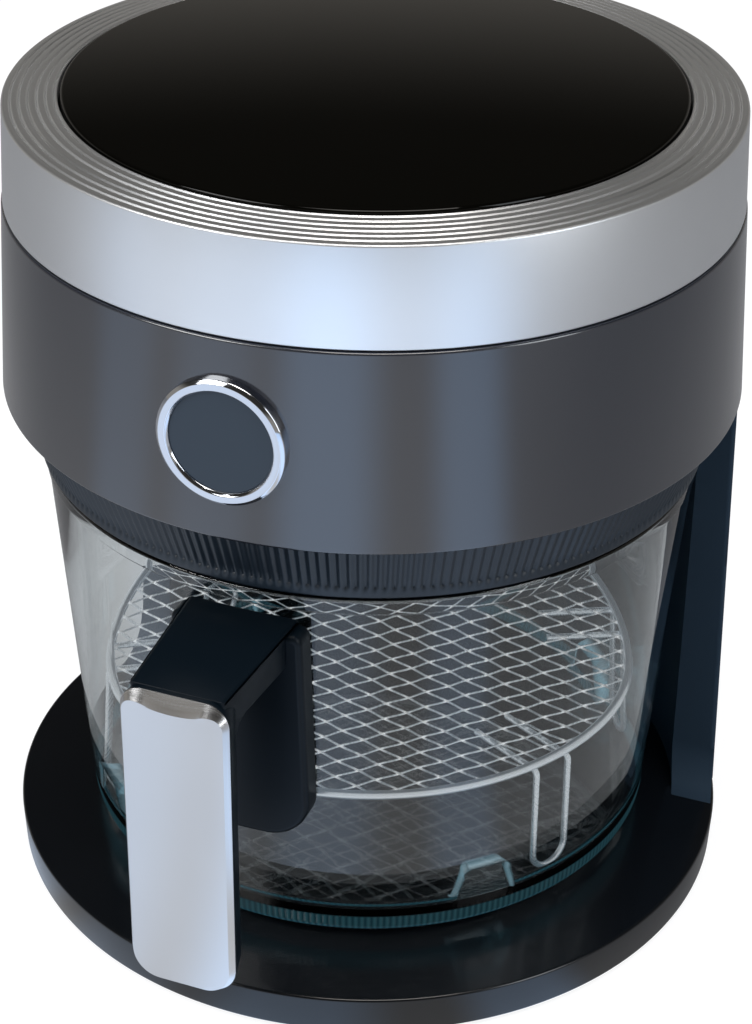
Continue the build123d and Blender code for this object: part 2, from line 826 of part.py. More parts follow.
def seal_ring():
    low = rim_top + running_gap + seat_gap
    high = ring_bottom + seal_depth - press_gap
    inner = seal_radius - seal_width / 2
    outer = seal_radius + seal_width / 2
    return turned([(inner, low, 0.8), (outer, low, 0.8), (outer, high), (inner, high)])


def head_floor():
    floor = tube(housing_bottom_radius - housing_wall - running_gap - 2 * seat_gap, ring_mouth_radius,
                 housing_bottom, floor_top_face)
    for x, y in column_screw_places():
        floor -= Pos(x, y, 0) * disc(screw_radius + hole_gap, housing_bottom - 1, floor_top_face + 1)
    for x, y in housing_screw_spots():
        floor -= Pos(x, y, 0) * disc(screw_radius + hole_gap, housing_bottom - 1, floor_top_face + 1)
    return floor - harness_hole(housing_bottom - 1, floor_top_face + 1)


def housing_screw_spots():
    return [polar(housing_screw_circle, angle) for angle in housing_screw_angles]


def head_housing():
    inner_top = housing_top_radius - housing_wall
    inner_low = housing_bottom_radius - housing_wall
    housing = turned([
        (inner_low, housing_bottom), (housing_bottom_radius, housing_bottom, housing_edge_round),
        (housing_top_radius, housing_top, housing_edge_round),
        (housing_top_radius - housing_flange, housing_top),
        (housing_top_radius - housing_flange, housing_top - housing_wall), (inner_top, housing_top - housing_wall),
    ])
    web = block(-1.5, 1.5, -inner_low - 1, -housing_screw_circle, floor_top_face,
                floor_top_face + boss_height)
    boss = Pos(0, -housing_screw_circle, 0) * disc(boss_radius - 0.5, floor_top_face,
                                                   floor_top_face + boss_height)
    hole = Pos(0, -housing_screw_circle, 0) * disc(screw_radius + screw_gap, floor_top_face - 1,
                                                   floor_top_face + screw_reach + 2)
    for angle in housing_screw_angles:
        housing += Rot(0, 0, angle) * (web + boss - hole)
    return housing


def housing_screws():
    low = housing_bottom - screw_head_height
    return [screw_up(x, y, low, floor_top_face + screw_reach) for x, y in housing_screw_spots()]


def seam_gasket():
    return tube(top_ring_bottom_radius - 1.5, housing_top_radius - housing_flange + 0.5,
                housing_top, top_ring_bottom)


def top_face_height(radius):
    # the ring's top rises slightly towards the disc
    share = (top_ring_top_radius - radius) / (top_ring_top_radius - ring_inner_edge)
    return top_ring_top + top_ring_rise * share


def top_ring():
    skin = top_ring_wall
    ledge = disc_bottom - carrier_thickness - running_gap
    ring = turned([
        (top_ring_bottom_radius - skin - 6, top_ring_bottom),
        (top_ring_bottom_radius, top_ring_bottom, top_ring_edge_round),
        (top_ring_top_radius, top_ring_top, top_ring_edge_round),
        (ring_inner_edge, top_face_height(ring_inner_edge)), (ring_inner_edge, ledge),
        (ring_inner_edge - 4, ledge), (ring_inner_edge - 4, ledge - skin), (ring_inner_edge + skin, ledge - skin),
        (ring_inner_edge + skin, top_face_height(ring_inner_edge + skin) - skin),
        (top_ring_top_radius - skin, top_ring_top - skin),
        (top_ring_bottom_radius - skin, top_ring_bottom + skin),
        (top_ring_bottom_radius - skin - 6, top_ring_bottom + skin),
    ])
    for step in range(1, groove_count + 1):
        radius = top_ring_top_radius - groove_pitch * step
        high = top_face_height(radius)
        ring -= turned([(radius - groove_width / 2, high + 0.3), (radius, high - groove_depth),
                        (radius + groove_width / 2, high + 0.3)])
    return ring


def touch_disc():
    top = disc_bottom + disc_thickness
    return turned([(0, disc_bottom), (disc_radius, disc_bottom), (disc_radius, top, disc_edge_round), (0, top)])


def disc_carrier():
    low = disc_bottom - carrier_thickness
    carrier = disc(disc_radius - 0.2, low, disc_bottom)
    carrier -= disc(control_board_radius - 12, low - 1, disc_bottom + 1)
    for x, y in control_post_spots():
        carrier += Pos(x, y, 0) * disc(3.0, low - control_board_drop, low + 0.5)
        carrier -= Pos(x, y, 0) * disc(1.0, low - control_board_drop - 1, low - 1)
    return carrier


def control_post_spots():
    return [polar(control_board_radius - 5, angle) for angle in (45, 135, 225, 315)]


def component(size, x, y, low):
    return Pos(x, y, low) * Box(*size, align=(Align.CENTER, Align.CENTER, Align.MIN))


def control_board():
    high = disc_bottom - carrier_thickness - control_board_drop
    board = disc(control_board_radius, high - board_thickness, high)
    board += component(display_size, 0, 0, high - part_sink)
    under = high - board_thickness + part_sink
    board += component(driver_size, -21, 27, under - driver_size[2])
    board += component(buzzer_size, 19, 25, under - buzzer_size[2])
    return board


# Badge
def badge_blank(radius, proud, back):
    # round plate whose back follows the housing
    front = -(housing_radius(badge_height) + proud)
    plate = peg_y(radius, 0, badge_height, front, -housing_radius(badge_height) + 6)
    low, high = badge_height - 40, badge_height + 30
    return plate - cone(housing_radius(low) + back, housing_radius(high) + back, low, high)


def badge_ring():
    outer = badge_blank(badge_radius, badge_ring_proud, 0.02)
    ring = outer - peg_y(badge_radius - badge_ring_width, 0, badge_height, -200, 0)
    front = ring.faces().sort_by(Axis.Y)[0].edges()
    return fillet(front, badge_ring_round)


def badge_disc():
    return badge_blank(badge_radius - badge_ring_width - seat_gap, badge_disc_proud, 0.02)


# Heater
def chamber_liner():
    return tube(liner_radius, liner_radius - sheet_metal, ring_bottom + ring_wall, housing_bottom)


def pan(low_radius, high_radius, flange_radius, low, high, centre_hole):
    # pressed sheet dish, open below, with a flange round its foot
    return turned([
        (low_radius - sheet_metal, low), (flange_radius, low), (flange_radius, low + sheet_metal),
        (low_radius, low + sheet_metal), (high_radius, high, dish_bend), (centre_hole, high),
        (centre_hole, high - sheet_metal),
        (high_radius - sheet_metal, high - sheet_metal, dish_bend - sheet_metal),
    ])


def terminal_spots():
    return [polar(element_inner_radius, 180), polar(element_end_radius(), 180)]


def element_end_radius():
    return element_inner_radius + 2 * element_turn_pitch


def heater_dish():
    dish = pan(dish_bottom_radius, dish_top_radius, dish_bottom_radius + dish_flange, dish_base, dish_top,
               shaft_radius + shaft_hole_gap)
    return through_holes(dish, dish_top)


def heat_shield():
    shield = pan(shield_foot_radius, shield_foot_radius - 2, shield_foot_radius + shield_flange, dish_base,
                 shield_top, shaft_radius + shaft_hole_gap)
    return through_holes(shield, shield_top)


def through_holes(sheet, height):
    for x, y in terminal_spots():
        sheet -= Pos(x, y, 0) * disc(terminal_radius + running_gap, height - 4, height + 1)
    x, y = polar(probe_circle_radius, 0)
    return sheet - Pos(x, y, 0) * disc(probe_radius + running_gap, height - 4, height + 1)


def heating_element():
    # flat spiral of half turns; each half turn is wider than the one before
    side = 1
    start = Vector(0, element_inner_radius, element_height)
    edges = []
    low, high = element_inner_radius, -element_inner_radius
    ends = [element_inner_radius]
    for half_turn in range(4):
        ends.append(-side * (element_inner_radius + element_turn_pitch * (half_turn + 1) / 2))
        side = -side
    for first, last in zip(ends[:-1], ends[1:]):
        centre = (first + last) / 2
        radius = abs(first - last) / 2
        bulge = radius if first > last else -radius
        edges.append(ThreePointArc((0, first, element_height), (bulge, centre, element_height),
                                   (0, last, element_height)))
    path = Wire(edges)
    profile = Plane(origin=start, z_dir=(1, 0, 0)) * Circle(element_radius)
    spiral = sweep(profile, path)
    for x, y in terminal_spots():
        spiral += Pos(x, y, 0) * disc(element_radius, element_height, shield_top + 6)
        spiral += Pos(x, y, 0) * disc(terminal_radius, dish_top - sheet_metal - 3, shield_top + 3)
    return spiral


def heater_clips():
    low_r = element_inner_radius - element_radius - 1
    high_r = element_end_radius() + element_radius + 1
    bar_low = element_height + element_radius + 0.1
    clip = block(-3, 3, -high_r, -low_r, bar_low, bar_low + 1.5)
    clip += Pos(0, -(low_r + high_r) / 2, 0) * disc(2.5, bar_low, dish_top - sheet_metal)
    return around(clip, (40, 140, 220, 320))


def heater_guard():
    low = housing_bottom - guard_thickness
    high = housing_bottom
    outer = liner_radius - sheet_metal - running_gap
    guard = tube(outer, outer - 5, low, high)
    for step in range(1, guard_rings + 1):
        radius = (outer - 4) * step / (guard_rings + 1)
        guard += tube(radius + guard_bar / 2, radius - guard_bar / 2, low, high)
    for angle in range(0, 180, 30):
        guard += Rot(0, 0, angle) * block(-guard_bar / 2, guard_bar / 2, -outer + 2, outer - 2, low, high)
    return guard


def temperature_probe():
    x, y = polar(probe_circle_radius, 0)
    rod = disc(probe_radius, housing_bottom + 3, shield_top + 4)
    rod += disc(probe_radius + 2.5, shield_top, shield_top + 3)
    return Pos(x, y, 0) * rod


# Fan and motor
def motor_bracket():
    high = motor_bottom
    half = bracket_strap / 2
    bend = motor_radius + bracket_reach - 8
    plate = tube(motor_radius + 4, shaft_radius + shaft_hole_gap, high - bracket_sheet, high)
    for angle in (30, 150, 270):
        leg = block(-half, half, -bend, -motor_radius + 2, shield_top, high)
        leg -= block(-half - 1, half + 1, bracket_sheet - bend, -motor_radius + 3, shield_top - 1,
                     high - bracket_sheet)
        foot = block(-half, half, -motor_radius - bracket_reach, bracket_sheet - bend, shield_top,
                     shield_top + bracket_sheet)
        plate += Rot(0, 0, angle) * (leg + foot)
    return plate


def bracket_screws():
    radius = motor_radius + bracket_reach - bracket_screw_inset
    seat = shield_top + bracket_sheet
    screw = screw_down(0, -radius, seat + screw_head_height, seat)
    return around(screw, (30, 150, 270))


def fan_motor():
    body = disc(motor_radius, motor_bottom, motor_top - 4) + disc(motor_radius - 7, motor_top - 5, motor_top)
    for angle in (90, 270):
        body += Rot(0, 0, angle) * block(-9, 9, -motor_radius - 4, -motor_radius + 4,
                                         motor_bottom + 4, motor_top - 8)
    return body - disc(shaft_radius + screw_gap, motor_bottom - 1, motor_top + 1)


def fan_bottom():
    return element_height + element_radius + fan_lift


def motor_shaft():
    return disc(shaft_radius, fan_bottom() - 6, motor_top + cooling_fan_height + 5)


def bladed(radius, low, high, blades, hub, lean):
    fan = disc(hub, low, high) + disc(radius * 0.86, high - 1.2, high)
    middle = (low + high) / 2
    for number in range(blades):
        blade = Box(blade_thickness, radius - hub + 1, high - low)
        fan += Rot(0, 0, 360 * number / blades) * Pos(0, -(radius + hub) / 2, middle) * Rot(0, 0, lean) * blade
    return fan - disc(shaft_radius + press_gap, low - 1, high + 1)


def convection_fan():
    return bladed(fan_radius, fan_bottom(), fan_bottom() + fan_height, fan_blades, shaft_radius + 6, 12)


def cooling_fan():
    low = motor_top + 2
    return bladed(cooling_fan_radius, low, low + cooling_fan_height, fan_blades + 2, shaft_radius + 5, 15)


def fan_nut():
    low = fan_bottom() - 5
    nut = extrude(Pos(0, 0, low) * RegularPolygon(shaft_radius + 3.5, 6), 5 - press_gap)
    return nut - disc(shaft_radius + press_gap, low - 1, low + 6)


# Power board above the heat shield
def board_corner_spots():
    return [(x, board_y + y) for x in (-board_length / 2 + 6, board_length / 2 - 6)
            for y in (-board_width / 2 + 5, board_width / 2 - 5)]


def power_board():
    low = shield_top + board_post_height
    board = block(-board_length / 2, board_length / 2, board_y - board_width / 2, board_y + board_width / 2,
                  low, low + board_thickness)
    top = low + board_thickness - part_sink
    board += component(transformer_size, -25, board_y, top)
    board += Pos(2, board_y, 0) * disc(capacitor_radius, top, top + capacitor_height)
    board += component(relay_size, 29, board_y - 2, top)
    return board


def board_posts():
    return [Pos(x, y, 0) * disc(board_post_radius, shield_top, shield_top + board_post_height)
            for x, y in board_corner_spots()]


pieces = {
    "base_shell": base_shell,
    "base_bottom_plate": base_bottom_plate,
    "rubber_feet": rubber_feet,
    "base_screws": base_screws,
    "column_shell": column_shell,
    "column_back_cover": column_back_cover,
    "cover_screws": cover_screws,
    "column_screws": column_screws,
    "cord_gland": cord_gland,
    "terminal_block": terminal_block,
    "wiring_harness": wiring_harness,
    "switch_housing": switch_housing,
    "switch_plunger": switch_plunger,
    "glass_bowl": glass_bowl,
    "rack_rim": rack_rim,
    "rack_mesh": rack_mesh,
    "rack_legs": rack_legs,
    "handle_pad": handle_pad,
    "handle_gasket": handle_gasket,
    "handle_body": handle_body,
    "handle_cover": handle_cover,
    "handle_inner_plate": handle_inner_plate,
    "handle_screws": handle_screws,
    "arm_screws": arm_screws,
    "lower_ring": lower_ring,
    "seal_ring": seal_ring,
    "head_floor": head_floor,
    "head_housing": head_housing,
    "housing_screws": housing_screws,
    "seam_gasket": seam_gasket,
    "top_ring": top_ring,
    "touch_disc": touch_disc,
    "disc_carrier": disc_carrier,
    "control_board": control_board,
    "badge_ring": badge_ring,
    "badge_disc": badge_disc,
    "chamber_liner": chamber_liner,
    "heater_dish": heater_dish,
    "heat_shield": heat_shield,
    "heating_element": heating_element,
    "heater_clips": heater_clips,
    "heater_guard": heater_guard,
    "temperature_probe": temperature_probe,
    "motor_bracket": motor_bracket,
    "bracket_screws": bracket_screws,
    "fan_motor": fan_motor,
    "motor_shaft": motor_shaft,
    "convection_fan": convection_fan,
    "cooling_fan": cooling_fan,
    "fan_nut": fan_nut,
    "power_board": power_board,
    "board_posts": board_posts,
}

os.makedirs("parts", exist_ok=True)
for name, make in pieces.items():
    save(name, make())
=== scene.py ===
import bpy
import math
from mathutils import Matrix, Vector


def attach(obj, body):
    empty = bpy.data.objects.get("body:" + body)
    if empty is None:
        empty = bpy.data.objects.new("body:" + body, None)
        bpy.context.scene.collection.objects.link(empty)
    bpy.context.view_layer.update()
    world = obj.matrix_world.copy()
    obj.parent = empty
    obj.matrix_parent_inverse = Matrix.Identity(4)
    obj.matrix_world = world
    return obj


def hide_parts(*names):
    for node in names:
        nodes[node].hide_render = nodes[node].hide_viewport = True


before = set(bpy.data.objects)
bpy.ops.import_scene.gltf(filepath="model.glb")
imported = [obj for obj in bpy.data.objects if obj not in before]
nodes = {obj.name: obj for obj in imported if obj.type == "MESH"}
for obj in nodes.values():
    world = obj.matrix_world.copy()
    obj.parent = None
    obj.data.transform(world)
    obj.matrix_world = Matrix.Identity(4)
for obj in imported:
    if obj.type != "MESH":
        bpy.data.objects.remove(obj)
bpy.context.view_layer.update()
mm = 0.001
print("frame loaded:", len(nodes), "nodes")


# small helpers for meshes
def newPiece(name, verts, faces, body, material, replaced=(), smoothAngle=32):
    mesh = bpy.data.meshes.new(name)
    mesh.from_pydata([tuple(v) for v in verts], [], faces)
    mesh.validate()
    mesh.shade_smooth()
    mesh.set_sharp_from_angle(angle=math.radians(smoothAngle))
    piece = bpy.data.objects.new(name, mesh)
    bpy.context.scene.collection.objects.link(piece)
    mesh.materials.append(material)
    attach(piece, body)
    if replaced:
        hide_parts(*replaced)
    return piece


def roundedLoop(points, steps=6):
    # closed outline of (a, b, rounding) points; each corner becomes an arc of that radius
    most = 0.49  # share of a side that one corner may take
    loop = []
    count = len(points)
    for index, (a, b, rounding) in enumerate(points):
        corner = Vector((a, b))
        if rounding <= 0:
            loop.append((a, b))
            continue
        before = Vector(points[index - 1][:2]) - corner
        after = Vector(points[(index + 1) % count][:2]) - corner
        half = before.angle(after) / 2
        reach = min(rounding / math.tan(half), before.length * most, after.length * most)
        radius = reach * math.tan(half)
        centre = corner + (before.normalized() + after.normalized()).normalized() * (radius / math.sin(half))
        first = corner + before.normalized() * reach - centre
        last = corner + after.normalized() * reach - centre
        turn = first.angle_signed(last)
        for step in range(steps + 1):
            spoke = first.copy()
            spoke.rotate(Matrix.Rotation(-turn * step / steps, 2))
            loop.append(tuple(centre + spoke))
    return loop


def turnedMesh(loop, segments, warp=None):
    # a closed loop of (radius, height) turned round Z; segments is their number or a list of angles
    verts, faces, rows = [], [], []
    angles = segments
    if not isinstance(segments, list):
        angles = [2 * math.pi * step / segments for step in range(segments)]
    for step, angle in enumerate(angles):
        row = []
        for index, (radius, height) in enumerate(loop):
            if radius < 1e-7 and step > 0:  # a point on the axis is made once
                row.append(rows[0][index])
                continue
            r, z = warp(angle, radius, height) if warp else (radius, height)
            row.append(len(verts))
            verts.append((r * math.sin(angle), -r * math.cos(angle), z))
        rows.append(row)
    count = len(loop)
    for step, here in enumerate(rows):
        there = rows[(step + 1) % len(rows)]
        for index in range(count):
            nextIndex = (index + 1) % count
            face = list(dict.fromkeys([here[index], there[index], there[nextIndex], here[nextIndex]]))
            if len(face) > 2:
                faces.append(face)
    return verts, faces


# small helpers for shader nodes
def feed(tree, node, values):
    # each value is a number, a plain colour or another node's output
    for label, value in values.items():
        if isinstance(value, (int, float)):
            node.inputs[label].default_value = value
        elif isinstance(value, tuple):
            node.inputs[label].default_value = (*value, 1)
        else:
            tree.links.new(value, node.inputs[label])


def newNode(tree, kind, values, **settings):
    node = tree.nodes.new(kind)
    for name, value in settings.items():
        setattr(node, name, value)
    feed(tree, node, values)
    return node.outputs


def mathNode(tree, operation, *values):
    return newNode(tree, "ShaderNodeMath", dict(enumerate(values)), operation=operation)[0]


def mixNode(tree, factor, first, second, kind="RGBA"):
    # blends two colours, or two numbers where the kind is FLOAT
    values = {"Factor": factor, "A": first, "B": second}
    return newNode(tree, "ShaderNodeMix", values, data_type=kind)["Result"]


def mapNode(tree, source, fromLow, fromHigh, toLow, toHigh, kind="LINEAR"):
    values = {"Value": source, "From Min": fromLow, "From Max": fromHigh, "To Min": toLow, "To Max": toHigh}
    return newNode(tree, "ShaderNodeMapRange", values, interpolation_type=kind)["Result"]


def noiseNode(tree, values, kind="3D"):
    return newNode(tree, "ShaderNodeTexNoise", values, noise_dimensions=kind)["Fac"]


def attributeNode(tree, name):
    return newNode(tree, "ShaderNodeAttribute", {}, attribute_name=name)["Fac"]


def pointNode(tree, kind="Object"):
    return newNode(tree, "ShaderNodeTexCoord", {})[kind]


def partsNode(tree, point):
    # X, Y and Z of a point
    return newNode(tree, "ShaderNodeSeparateXYZ", {0: point})


def bumpNode(tree, source, strength, distance, under=None):
    # under is the normal of a bump that this one lies on
    values = {"Strength": strength, "Distance": distance, "Height": source}
    if under:
        values["Normal"] = under
    return newNode(tree, "ShaderNodeBump", values)["Normal"]


# shader node groups that several materials share
def newGroup(name, inputs, outputs):
    group = bpy.data.node_groups.new(name, "ShaderNodeTree")
    for side, labels in (("INPUT", inputs), ("OUTPUT", outputs)):
        for label in labels:
            group.interface.new_socket(name=label, in_out=side, socket_type="NodeSocketFloat")
    return group, group.nodes.new("NodeGroupInput").outputs, group.nodes.new("NodeGroupOutput")


def groupNode(tree, group, values):
    return newNode(tree, "ShaderNodeGroup", values, node_tree=group)


def buildMouldGrain():
    # fine moulded texture as a height, and a slow change of tone as a mask
    group, given, result = newGroup("mouldGrain", ["Scale", "Patches"], ["Height", "Patch"])
    point = pointNode(group)
    feed(group, result, {
        "Height": noiseNode(group, {"Vector": point, "Scale": given["Scale"], "Detail": 3.0}),
        "Patch": noiseNode(group, {"Vector": point, "Scale": given["Patches"], "Detail": 4.0}),
    })
    return group


def buildTurnedLines():
    # very fine rings round the Z axis, as a lathe leaves them, with a slow change of tone
    group, given, result = newGroup("turnedLines", ["Pitch", "Height share"], ["Height", "Tone"])
    point = pointNode(group)
    parts = partsNode(group, point)
    flat = newNode(group, "ShaderNodeCombineXYZ", {"X": parts["X"], "Y": parts["Y"]})[0]
    reach = newNode(group, "ShaderNodeVectorMath", {0: flat}, operation="LENGTH")["Value"]
    along = mathNode(group, "MULTIPLY_ADD", parts["Z"], given["Height share"], reach)
    rings = mathNode(group, "DIVIDE", along, given["Pitch"])
    feed(group, result, {
        "Height": noiseNode(group, {"W": rings, "Scale": 1.0, "Detail": 2.0}, "1D"),
        "Tone": noiseNode(group, {"Vector": point, "Scale": 22.0, "Detail": 2.0}),
    })
    return group


mouldGrain = buildMouldGrain()
turnedLines = buildTurnedLines()


# materials
def startMaterial(name):
    material = bpy.data.materials.new(name)
    material.use_nodes = True
    return material, material.node_tree, material.node_tree.nodes["Principled BSDF"]


def ramp(tree, source, low, high):
    # spreads the middle of a noise over a small range
    return mapNode(tree, source, 0.3, 0.7, low, high)


plainPlastic = {"grain": 900.0, "patches": 14.0, "depth": 0.00002, "strength": 0.25, "spread": 0.12,
                "coat": 0.0, "coatRough": 0.04, "specular": 0.5, "metal": 0.0}
plainMetal = {"depth": 0.00001, "strength": 0.3, "spread": 0.15}


def plasticMaterial(name, dark, light, rough, changes):
    # moulded plastic, rubber, enamel or plain plated steel
    values = {**plainPlastic, **changes}
    material, tree, shader = startMaterial(name)
    grain = groupNode(tree, mouldGrain, {"Scale": values["grain"], "Patches": values["patches"]})
    spread = values["spread"]
    feed(tree, shader, {
        "Base Color": mixNode(tree, grain["Patch"], dark, light),
        "Roughness": ramp(tree, grain["Patch"], rough * (1 - spread), rough * (1 + spread)),
        "Normal": bumpNode(tree, grain["Height"], values["strength"], values["depth"]),
        "Coat Weight": values["coat"],
        "Coat Roughness": values["coatRough"],
        "Specular IOR Level": values["specular"],
        "Metallic": values["metal"],
    })
    return material


def metalMaterial(name, dark, light, rough, pitch, heightShare, changes):
    # turned or brushed metal with fine rings
    values = {**plainMetal, **changes}
    material, tree, shader = startMaterial(name)
    lines = groupNode(tree, turnedLines, {"Pitch": pitch, "Height share": heightShare})
    spread = values["spread"]
    feed(tree, shader, {
        "Base Color": mixNode(tree, lines["Tone"], dark, light),
        "Roughness": ramp(tree, lines["Height"], rough * (1 - spread), rough * (1 + spread)),
        "Normal": bumpNode(tree, lines["Height"], values["strength"], values["depth"]),
        "Metallic": 1.0,
    })
    return material


# dark and light tone, roughness and what differs from plain plastic
plastics = {
    "basePlastic": ((0.0028, 0.0038, 0.0055), (0.004, 0.0053, 0.0075), 0.2,
                    {"depth": 0.000006, "coat": 0.2}),
    "underPlastic": ((0.012, 0.012, 0.014), (0.02, 0.02, 0.022), 0.6, {}),
    "footRubber": ((0.012, 0.012, 0.012), (0.02, 0.02, 0.02), 0.85, {"grain": 500.0}),
    "columnPlastic": ((0.024, 0.042, 0.066), (0.03, 0.051, 0.078), 0.45, {"specular": 0.05}),
    "glandRubber": ((0.01, 0.01, 0.01), (0.016, 0.016, 0.016), 0.7, {}),
    "nylonWhite": ((0.62, 0.61, 0.56), (0.7, 0.69, 0.64), 0.5, {}),
    "cableSleeve": ((0.015, 0.015, 0.015), (0.03, 0.03, 0.03), 0.75,
                    {"grain": 2200.0, "depth": 0.0001, "strength": 0.8}),
    "handlePlastic": ((0.002, 0.005, 0.0085), (0.0032, 0.0075, 0.0125), 0.36, {"specular": 0.16}),
    "gasketSilicone": ((0.02, 0.02, 0.022), (0.03, 0.03, 0.033), 0.65, {}),
    "ringPlastic": ((0.012, 0.021, 0.033), (0.018, 0.029, 0.043), 0.42, {}),
    "housingPlastic": ((0.015, 0.018, 0.027), (0.019, 0.022, 0.032), 0.2,
                       {"depth": 0.000004, "coat": 0.9, "specular": 0.9}),
    "discGlass": ((0.0012, 0.0011, 0.0008), (0.0016, 0.0015, 0.0011), 0.05,
                  {"grain": 300.0, "depth": 0.000001, "strength": 0.1, "specular": 0.22}),
    "badgeFace": ((0.028, 0.044, 0.066), (0.033, 0.051, 0.075), 0.4, {}),
    "boardGreen": ((0.01, 0.09, 0.035), (0.015, 0.12, 0.05), 0.4, {"grain": 300.0}),
    "elementSteel": ((0.06, 0.05, 0.045), (0.11, 0.1, 0.09), 0.5, {"metal": 0.8}),
}
# dark and light tone, roughness, pitch of the lines, their share up a wall and what differs from plain metal
metals = {
    "screwSteel": ((0.5, 0.5, 0.52), (0.62, 0.62, 0.64), 0.3, 0.0003, 0.0, {}),
    "sheetSteel": ((0.36, 0.36, 0.36), (0.46, 0.46, 0.46), 0.38, 0.0005, 0.4, {}),
    "motorSteel": ((0.3, 0.3, 0.32), (0.4, 0.4, 0.42), 0.4, 0.0004, 1.0, {}),
    "fanAluminium": ((0.55, 0.55, 0.55), (0.65, 0.65, 0.65), 0.34, 0.0006, 0.2, {}),
    "ringSilver": ((0.88, 0.9, 0.92), (0.94, 0.955, 0.97), 0.4, 0.00035, 1.0,
                   {"depth": 0.000006, "strength": 0.35}),
    "handleSilver": ((0.68, 0.68, 0.685), (0.74, 0.74, 0.745), 0.25, 0.0008, 0.0,
                     {"depth": 0.000001, "strength": 0.1}),
    "badgeChrome": ((0.72, 0.75, 0.8), (0.78, 0.8, 0.85), 0.08, 0.0004, 0.2,
                    {"depth": 0.000001, "strength": 0.1}),
    "rackSteel": ((0.86, 0.88, 0.9), (0.94, 0.95, 0.96), 0.28, 0.0005, 0.5,
                  {"depth": 0.000002, "strength": 0.2}),
}
finish = {}
for build, table in ((plasticMaterial, plastics), (metalMaterial, metals)):
    for finishName, values in table.items():
        finish[finishName] = build(finishName, *values)


def glassMaterial():
    # clear, blue-green along the wall, with a fluted band round its foot that glows with painted light, and
    # painted highlights glowing on the lug edges
    values = {"ior": 1.5, "mirror": 0.16, "edgeTint": (0.3, 0.7, 0.8), "density": 14.0, "rough": 0.008,
              "waves": 40.0, "patches": 9.0, "ripple": 0.000003, "rippleShare": 0.2, "bandLow": 0.0318,
              "bandHigh": 0.0328, "bandRadius": 0.1118, "flutes": 300, "fluteDepth": 0.0003,
              "fluteShare": 0.6, "bandTint": (0.1, 0.38, 0.46), "paintedGrooveGlow": (0.005, 0.02, 0.027),
              "paintedRidgeGlow": (0.014, 0.045, 0.056), "paintedLugGlintColour": (0.12, 0.2, 0.24)}
    material, tree, shader = startMaterial("bowlGlass")
    grain = groupNode(tree, mouldGrain, {"Scale": values["waves"], "Patches": values["patches"]})
    parts = partsNode(tree, pointNode(tree))
    low = mapNode(tree, parts["Z"], values["bandLow"], values["bandHigh"], 1.0, 0.0, "SMOOTHSTEP")
    reach = mathNode(tree, "ADD", mathNode(tree, "MULTIPLY", parts["X"], parts["X"]),
                     mathNode(tree, "MULTIPLY", parts["Y"], parts["Y"]))
    outer = mathNode(tree, "GREATER_THAN", mathNode(tree, "SQRT", reach), values["bandRadius"])
    band = mathNode(tree, "MULTIPLY", low, outer)
    turn = mathNode(tree, "ARCTAN2", parts["X"], parts["Y"])
    flutes = mathNode(tree, "SINE", mathNode(tree, "MULTIPLY", turn, values["flutes"]))
    share = mathNode(tree, "MULTIPLY_ADD", flutes, 0.5, 0.5)  # 0 in a groove, 1 on a ridge
    # painted glow on the foot band: painted light on the ridges, a dimmer painted glow in the grooves
    glow = mixNode(tree, band, (0, 0, 0), mixNode(tree, share, values["paintedGrooveGlow"], values["paintedRidgeGlow"]))
    ridges = mathNode(tree, "MULTIPLY", flutes, band)
    ripple = bumpNode(tree, grain["Height"], values["rippleShare"], values["ripple"])
    feed(tree, shader, {
        "Base Color": mixNode(tree, band, (1, 1, 1), values["bandTint"]),
        "Roughness": ramp(tree, grain["Patch"], 0.0, values["rough"]),
        "Normal": bumpNode(tree, ridges, values["fluteShare"], values["fluteDepth"], ripple),
        # painted highlights: the lug edges glow, laid over the painted glow of the foot band
        "Emission Color": mixNode(tree, attributeNode(tree, "paintedLugGlint"), glow, values["paintedLugGlintColour"]),
        "Emission Strength": 1.0,
        "Transmission Weight": 1.0,
        "Specular IOR Level": values["mirror"],
        "IOR": values["ior"],
    })
    soak = newNode(tree, "ShaderNodeVolumeAbsorption", {"Color": values["edgeTint"],
                                                        "Density": values["density"]})
    feed(tree, tree.nodes["Material Output"], {"Volume": soak[0]})
    return material


def paintWireGlow(material):
    # painted glow on the wires for the light that lamps can't send through the glass; the plain colour glows
    # along every wire and a white painted glint sits most of all where they cross
    values = {"plain": (0.14, 0.17, 0.2), "paintedCrossingGlint": (1, 1, 1), "strength": 0.38}
    tree = material.node_tree
    feed(tree, tree.nodes["Principled BSDF"], {
        "Emission Color": mixNode(tree, attributeNode(tree, "paintedCrossingGlint"), values["plain"], values["paintedCrossingGlint"]),
        "Emission Strength": values["strength"],
    })


finish["bowlGlass"] = glassMaterial()
paintWireGlow(finish["rackSteel"])

